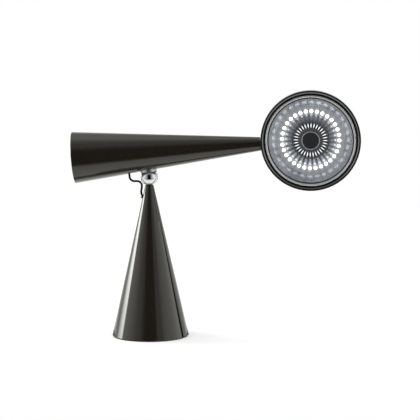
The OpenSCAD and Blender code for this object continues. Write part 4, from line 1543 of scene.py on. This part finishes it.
class Light(SubAssembly):
    """What lights the head: reflector, diodes, finned hub, diffuser and push button."""

    body = "head"
    sizes = HeadSizes()

    def build(self) -> None:
        """Makes the light."""
        self.build_reflector()
        self.build_diodes()
        self.build_hub()
        self.build_button()

    def on_diodes(self, name: str, piece: Piece) -> Piece:
        """Copies a piece to the place of every diode."""
        return piece.shift(self.sizes.diode_circle).copies_round(name, self.sizes.diodes)

    def build_reflector(self) -> None:
        """The pressed trough, pierced for the diodes."""
        sizes = self.sizes
        top = sizes.shelf_top + sizes.sheet
        crest = sizes.front - sizes.hub_edge_depth - 0.2
        inner, foot = sizes.hub + sizes.gap, sizes.floor_in - 0.5
        outline = [
            (sizes.trim_out, top), (sizes.mouth, top), (sizes.floor_out, sizes.floor),
            *sagging((sizes.floor_in, sizes.floor), (inner, crest), sizes.cone_sag),
            *sagging((inner, crest - 1.9), (foot, sizes.board_top), -sizes.cone_sag),
            (sizes.floor_out + 0.4, sizes.board_top), (sizes.mouth + 0.7, sizes.shelf_top),
            (sizes.trim_out, sizes.shelf_top),
        ]
        trough = turned("reflector_trough", outline, 256, edge=0.6)
        hole = bar("hole", sizes.diode_width / 2 + 0.1, sizes.board_top - 1, sizes.floor + 1)
        trough.cut(self.on_diodes("holes", hole))
        trough.smooth()
        self.fit(trough, Slot.REFLECTOR, "reflector")

    def build_diodes(self) -> None:
        """The diodes' housings and the domes on them."""
        sizes = self.sizes
        low, high = sizes.board_top, sizes.board_top + sizes.diode_height
        rim, dome = sizes.diode_width / 2, sizes.dome_width / 2
        bottom = high - sizes.cup_depth
        cup = [
            (0, low), (rim, low), (rim, high), (dome, high), (dome - sizes.cup_wall, bottom),
            (0, bottom),
        ]
        housing = turned("housing", cup, 40, edge=0.12, segments=2)
        self.fit(self.on_diodes("diode_housings", housing), Slot.WHITE_BOARD, "leds")
        ball = (dome**2 + sizes.dome_height**2) / (2 * sizes.dome_height)
        edge = math.degrees(math.acos(dome / ball))
        cap = [
            (0, high - sizes.dome_foot), (dome, high - sizes.dome_foot),
            *arc((0, high + sizes.dome_height - ball), ball, edge, 90, 8)[:-1],
            (0, high + sizes.dome_height),
        ]
        self.fit(self.on_diodes("diode_domes", turned("dome", cap, 32)), Slot.LED, "led_domes")

    def build_hub(self) -> None:
        """The dark hub with its fins, and the lit diffuser behind the slots between them."""
        sizes = self.sizes
        rim, boss, top = sizes.hub, sizes.boss, sizes.boss_top
        edge, fins = sizes.front - sizes.hub_edge_depth, sizes.front - sizes.fin_depth
        low, back = fins - sizes.fin_height, sizes.board_top - sizes.board
        seat, ring, hole = sizes.ring_seat, sizes.button_ring + 0.1, sizes.button_hole
        outline = [
            (rim, back), (rim, edge - 0.8), (rim - 0.7, edge), (rim - 1.8, edge),
            (rim - sizes.hub_edge, fins), (boss + sizes.boss_slope, fins),
            (boss + 0.4, top - 0.6), (boss - 0.2, top), (ring, top), (ring, seat), (hole, seat),
            (hole, low), (rim - sizes.hub_wall, low), (rim - sizes.hub_wall, back),
        ]
        hub = turned("finned_hub", outline, 256, edge=0.2, segments=2)
        slot = petal("slot", sizes.slot_in, sizes.slot_out, low - 1, edge + 1)
        hub.cut(slot.copies_round("slots", sizes.diodes))
        hub.smooth()
        self.fit(hub, Slot.ANODISED, "hub", finish=HUB_FINISH)
        inner, outer, under = sizes.slot_in[0] - 2, rim - 2.1, low - sizes.diffuser
        disc = [(inner, under), (outer, under), (outer, low), (inner, low)]
        self.fit(turned("slot_diffuser", disc, 128), Slot.DIFFUSER, "hub_diffuser")

    def build_button(self) -> None:
        """The push button, slightly dished, and the bright ring round it."""
        sizes = self.sizes
        top, rim, stem = sizes.boss_top, sizes.button, sizes.stem
        low, soft = top - sizes.button_thickness, sizes.button_round
        knee, fall = sizes.dish_knee
        outline = [
            (0, low - sizes.stem_length), (stem, low - sizes.stem_length), (stem, low),
            (rim, low), *arc((rim - soft, top - soft), soft, 0, 90, 6),
            (rim - sizes.dish_edge, top), (rim - knee, top - fall), (0, top - sizes.dish_depth),
        ]
        button = turned("switch_button", outline, 128)
        self.fit(button, Slot.ANODISED, "push_button", body="button")
        hole, seat = sizes.button_hole, sizes.ring_seat
        half = (sizes.button_ring - hole) / 2
        crown = arc((hole + half, seat + sizes.ring_height - half), half, 0, 180, 10)
        ring = [(hole, seat), (sizes.button_ring, seat), *crown]
        self.fit(turned("bright_button_ring", ring, 128), Slot.CHROME, "button_ring")


class LinkLead(SubAssembly):
    """The short lead from the arm to the base, in two halves that meet in its middle."""

    body = "ball"
    width: float = 3.6
    route: tuple[Point, ...] = (
        (-35.5, 284.5), (-34.5, 279.5), (-34, 276), (-33.5, 272.5), (-32, 269.5), (-29.5, 267.5),
        (-26, 266.5), (-20.5, 266.5), (-17, 265.5), (-14.5, 263.5), (-13, 260), (-13, 257),
        (-13.5, 253.5), (-14, 250), (-14, 246.5), (-13, 243), (-11.5, 240), (-9, 236),
    )
    middle: int = 9
    base_end: int = 15
    arm_bend: tuple[Point, Point] = ((-31.5, 260.95), (-13.8, 264.05))

    @staticmethod
    def spots(points: tuple[Point, ...]) -> list[Vector]:
        """Points of the upright plane through the arm, in metres."""
        return [Vector((x * MM, 0, z * MM)) for x, z in points]

    def build(self) -> None:
        """Makes the half between arm and ball and the one between base and ball."""
        places = self.spots(self.route)
        halves = (
            ("upper_lead", places[: self.middle + 1], "arm", *self.spots(self.arm_bend)),
            (
                "lower_lead", places[self.middle :], "base", places[self.base_end],
                places[self.middle],
            ),
        )
        for name, route, body, start, end in halves:
            half = self.tube(name, route)
            half.dress(self.axis, Slot.RUBBER)
            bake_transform(half.item)
            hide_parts("link_lead")
            length = sum((b - a).length for a, b in zip(route, route[1:]))
            LOG.info("%s: %.0f mm between %s and ball", name, length / MM, body)

    def tube(self, name: str, places: list[Vector]) -> Piece:
        """A round tube along a route.

        Args:
            name: Name of the piece.
            places: Points of the route in metres.

        Returns:
            The tube as a mesh.
        """
        curve = bpy.data.curves.new(name, "CURVE")
        curve.dimensions = "3D"
        curve.bevel_depth = self.width / 2 * MM
        curve.bevel_resolution = 6
        curve.resolution_u = 8
        curve.use_fill_caps = True
        spline = curve.splines.new("BEZIER")
        spline.bezier_points.add(len(places) - 1)
        for knot, spot in zip(spline.bezier_points, places, strict=True):
            knot.co = spot
            knot.handle_left_type = knot.handle_right_type = "AUTO"
        item = bpy.data.objects.new(name, curve)
        bpy.context.scene.collection.objects.link(item)
        Piece(name, item).take()
        bpy.ops.object.convert(target="MESH")
        piece = Piece(name, bpy.context.active_object)
        bpy.ops.object.mode_set(mode="EDIT")
        clean_mesh(TUBE_DOUBLES)
        bpy.ops.object.shade_smooth_by_angle(angle=math.radians(TUBE_SHARP))
        return piece


@dataclass
class Studio:
    """The plain white studio: a pale table, a bright dome round it and the camera.

    A glow is a row of (place, level) pairs: side_glow by the angle round the lamp from the camera,
    overhead_glow by the angle from the camera, and table_glow by the place along Y in metres.
    """

    aim: tuple[float, float, float] = (0.1032, 0.0, 0.217)
    distance: float = 3.44
    side: float = 2.9
    height: float = 6.8
    roll: float = -0.28
    lens: float = 172.97
    sensor: float = 36.0
    side_glow: tuple[Point, ...] = (
        (-180, 0.8), (-134, 0.9), (-92, 1.6), (-75, 1.45), (-58, 1.05), (-45, 0.62), (-34, 0.52),
        (-26, 0.3), (-18, 0.03), (-8, 0.005), (8, 0.005), (18, 0.03), (25, 0.46), (38, 0.5),
        (46, 0.98), (60, 1.28), (82, 1.58), (100, 2.0), (109, 1.95), (112, 0.0), (120, 0.0),
        (122, 1.0), (180, 0.8),
    )
    overhead_glow: tuple[Point, ...] = (
        (0, 0.005), (8, 0.005), (18, 0.03), (30, 0.16), (38, 0.22), (45, 0.45), (60, 0.52),
        (74, 0.8), (84, 1.15), (92, 1.35), (100, 1.28), (108, 1.08), (117, 0.86), (128, 0.66),
        (140, 0.55), (180, 0.55),
    )
    overhead_rise: Point = (22.0, 45.0)
    strip_rise: Point = (-140.0, -110.0)
    strip_fall: Point = (-99.0, -92.0)
    strip_foot: Point = (0.5, 10.0)
    strip_top: Point = (50.0, 62.0)
    strip_glow: float = 15.5
    strip_light: float = 3.6
    soft_light: float = 0.8
    top_light: float = 0.2
    left_light: float = 0.1
    table_glow: tuple[Point, ...] = (
        (-0.62, 0.0), (-0.5, 0.35), (-0.36, 1.25), (-0.2, 1.4), (-0.03, 1.4), (0.02, 0.25),
        (0.055, 0.25), (0.13, 1.2), (0.3, 1.3), (0.8, 0.85),
    )
    table_middle: tuple[float, float, float] = (0.1, 0.6, 0.0)
    table_size: tuple[float, float, float] = (3.2, 2.44, 1.0)
    table_pale: float = 0.86
    table_shade: float = 0.66
    table_white: float = 0.41

    def build(self) -> None:
        """Makes the camera, the world and the table."""
        self.build_camera()
        self.build_world()
        self.build_table()
        bpy.context.scene.view_settings.view_transform = "Standard"

    def view_back(self) -> Vector:
        """Direction from the lamp to the camera."""
        side, height = math.radians(self.side), math.radians(self.height)
        flat = math.cos(height)
        return Vector((math.sin(side) * flat, -math.cos(side) * flat, math.sin(height)))

    def build_camera(self) -> None:
        """The camera at the photograph's angle."""
        data = bpy.data.cameras.new("camera")
        data.lens = self.lens
        data.sensor_width = self.sensor
        camera = bpy.data.objects.new("camera", data)
        bpy.context.scene.collection.objects.link(camera)
        back = self.view_back()
        camera.location = Vector(self.aim) + back * self.distance
        camera.rotation_mode = "QUATERNION"
        turn = Matrix.Rotation(math.radians(self.roll), 3, "Z").to_quaternion()
        camera.rotation_quaternion = (-back).to_track_quat("-Z", "Y") @ turn
        bpy.context.scene.camera = camera

    def build_world(self) -> None:
        """White to the camera, and to all else a dome of soft light round a dark camera side."""
        world = bpy.data.worlds.new("studio")
        bpy.context.scene.world = world
        graph = Graph(world)
        x, y, z = graph.parts(graph.signal("ShaderNodeTexCoord", {}, {}, "Generated"))
        turn = x.math("ARCTAN2", y * -1.0) * TO_DEGREES - self.side
        turn = turn.math("WRAP", 180.0, -180.0)
        side = graph.lookup(turn, self.side_glow)
        back = self.view_back()
        off = (x * back.x + y * back.y + z * back.z).math("ARCCOSINE") * TO_DEGREES
        overhead = graph.lookup(off, self.overhead_glow)
        rise = z.math("ARCSINE") * TO_DEGREES
        high = rise.step(*self.overhead_rise)
        dome = side * (1 - high) + overhead * high
        strip = turn.between(self.strip_rise, self.strip_fall)
        strip = strip * rise.step(*self.strip_foot) * (1 - rise.step(*self.strip_top))
        shown, glossy = graph.rays()
        soft = z * self.top_light - x * self.left_light + self.soft_light
        soft = soft + strip * self.strip_light
        glow = soft + glossy * (dome + strip * self.strip_glow - soft)
        seen, felt = (
            graph.signal("ShaderNodeBackground", {}, {"Color": WHITE, "Strength": strength})
            for strength in (1.0, glow)
        )
        both = graph.signal("ShaderNodeMixShader", {}, {0: shown, 1: felt, 2: seen})
        graph.node("ShaderNodeOutputWorld", {}, {"Surface": both})

    def build_table(self) -> None:
        """The pale table top. Gloss shows its dark front edge and the seam behind the lamp."""
        bpy.ops.object.select_all(action="DESELECT")
        bpy.ops.mesh.primitive_plane_add(size=1)
        place = Matrix.LocRotScale(Vector(self.table_middle), None, Vector(self.table_size))
        table = started("table_top").put(place)
        material = bpy.data.materials.new("pale_table")
        graph = Graph(material)
        _, y, _ = graph.parts(graph.place())
        shown, glossy = graph.rays()
        pale, shaded = (
            graph.signal("ShaderNodeBsdfDiffuse", {}, {"Color": (tint, tint, tint, 1.0)})
            for tint in (self.table_pale, self.table_shade)
        )
        lit, mirrored = (
            graph.signal("ShaderNodeEmission", {}, {"Color": WHITE, "Strength": strength})
            for strength in (self.table_white, graph.lookup(y, self.table_glow))
        )
        seen = graph.signal("ShaderNodeAddShader", {}, {0: shaded, 1: lit})
        felt = graph.signal("ShaderNodeMixShader", {}, {0: glossy, 1: pale, 2: mirrored})
        both = graph.signal("ShaderNodeMixShader", {}, {0: shown, 1: felt, 2: seen})
        graph.node("ShaderNodeOutputMaterial", {}, {"Surface": both})
        table.item.data.materials.append(material)


def dress_frame(axes: dict[str, Axis]) -> None:
    """Gives every CAD node the finish of its slot, with marks round its own body's axis.

    Args:
        axes: The axis of each body.
    """
    slots = {row["node"]: Slot(row["material_slot"]) for row in frame["record"]["subparts"]}
    for body, nodes in frame["record"]["behaviour"]["bodies"].items():
        for node in nodes:
            finish = FINISHES[slots[node]].material(axes[body])
            for place in frame["nodes"][node].material_slots:
                place.material = finish
    LOG.info("dressed %d nodes of the frame", len(slots))


def main() -> None:
    """Builds the studio and the lamp."""
    logging.basicConfig(level=logging.INFO, format="%(name)s: %(message)s")
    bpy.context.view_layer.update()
    axes = lamp_axes()
    Studio().build()
    LinkLead(axes).build()
    dress_frame(axes)
    for group in (Light, Head, Arm, BallJoint, Base):
        group(axes).build()
        LOG.info("built %s", group.__name__)


if __name__ == "__main__":
    main()
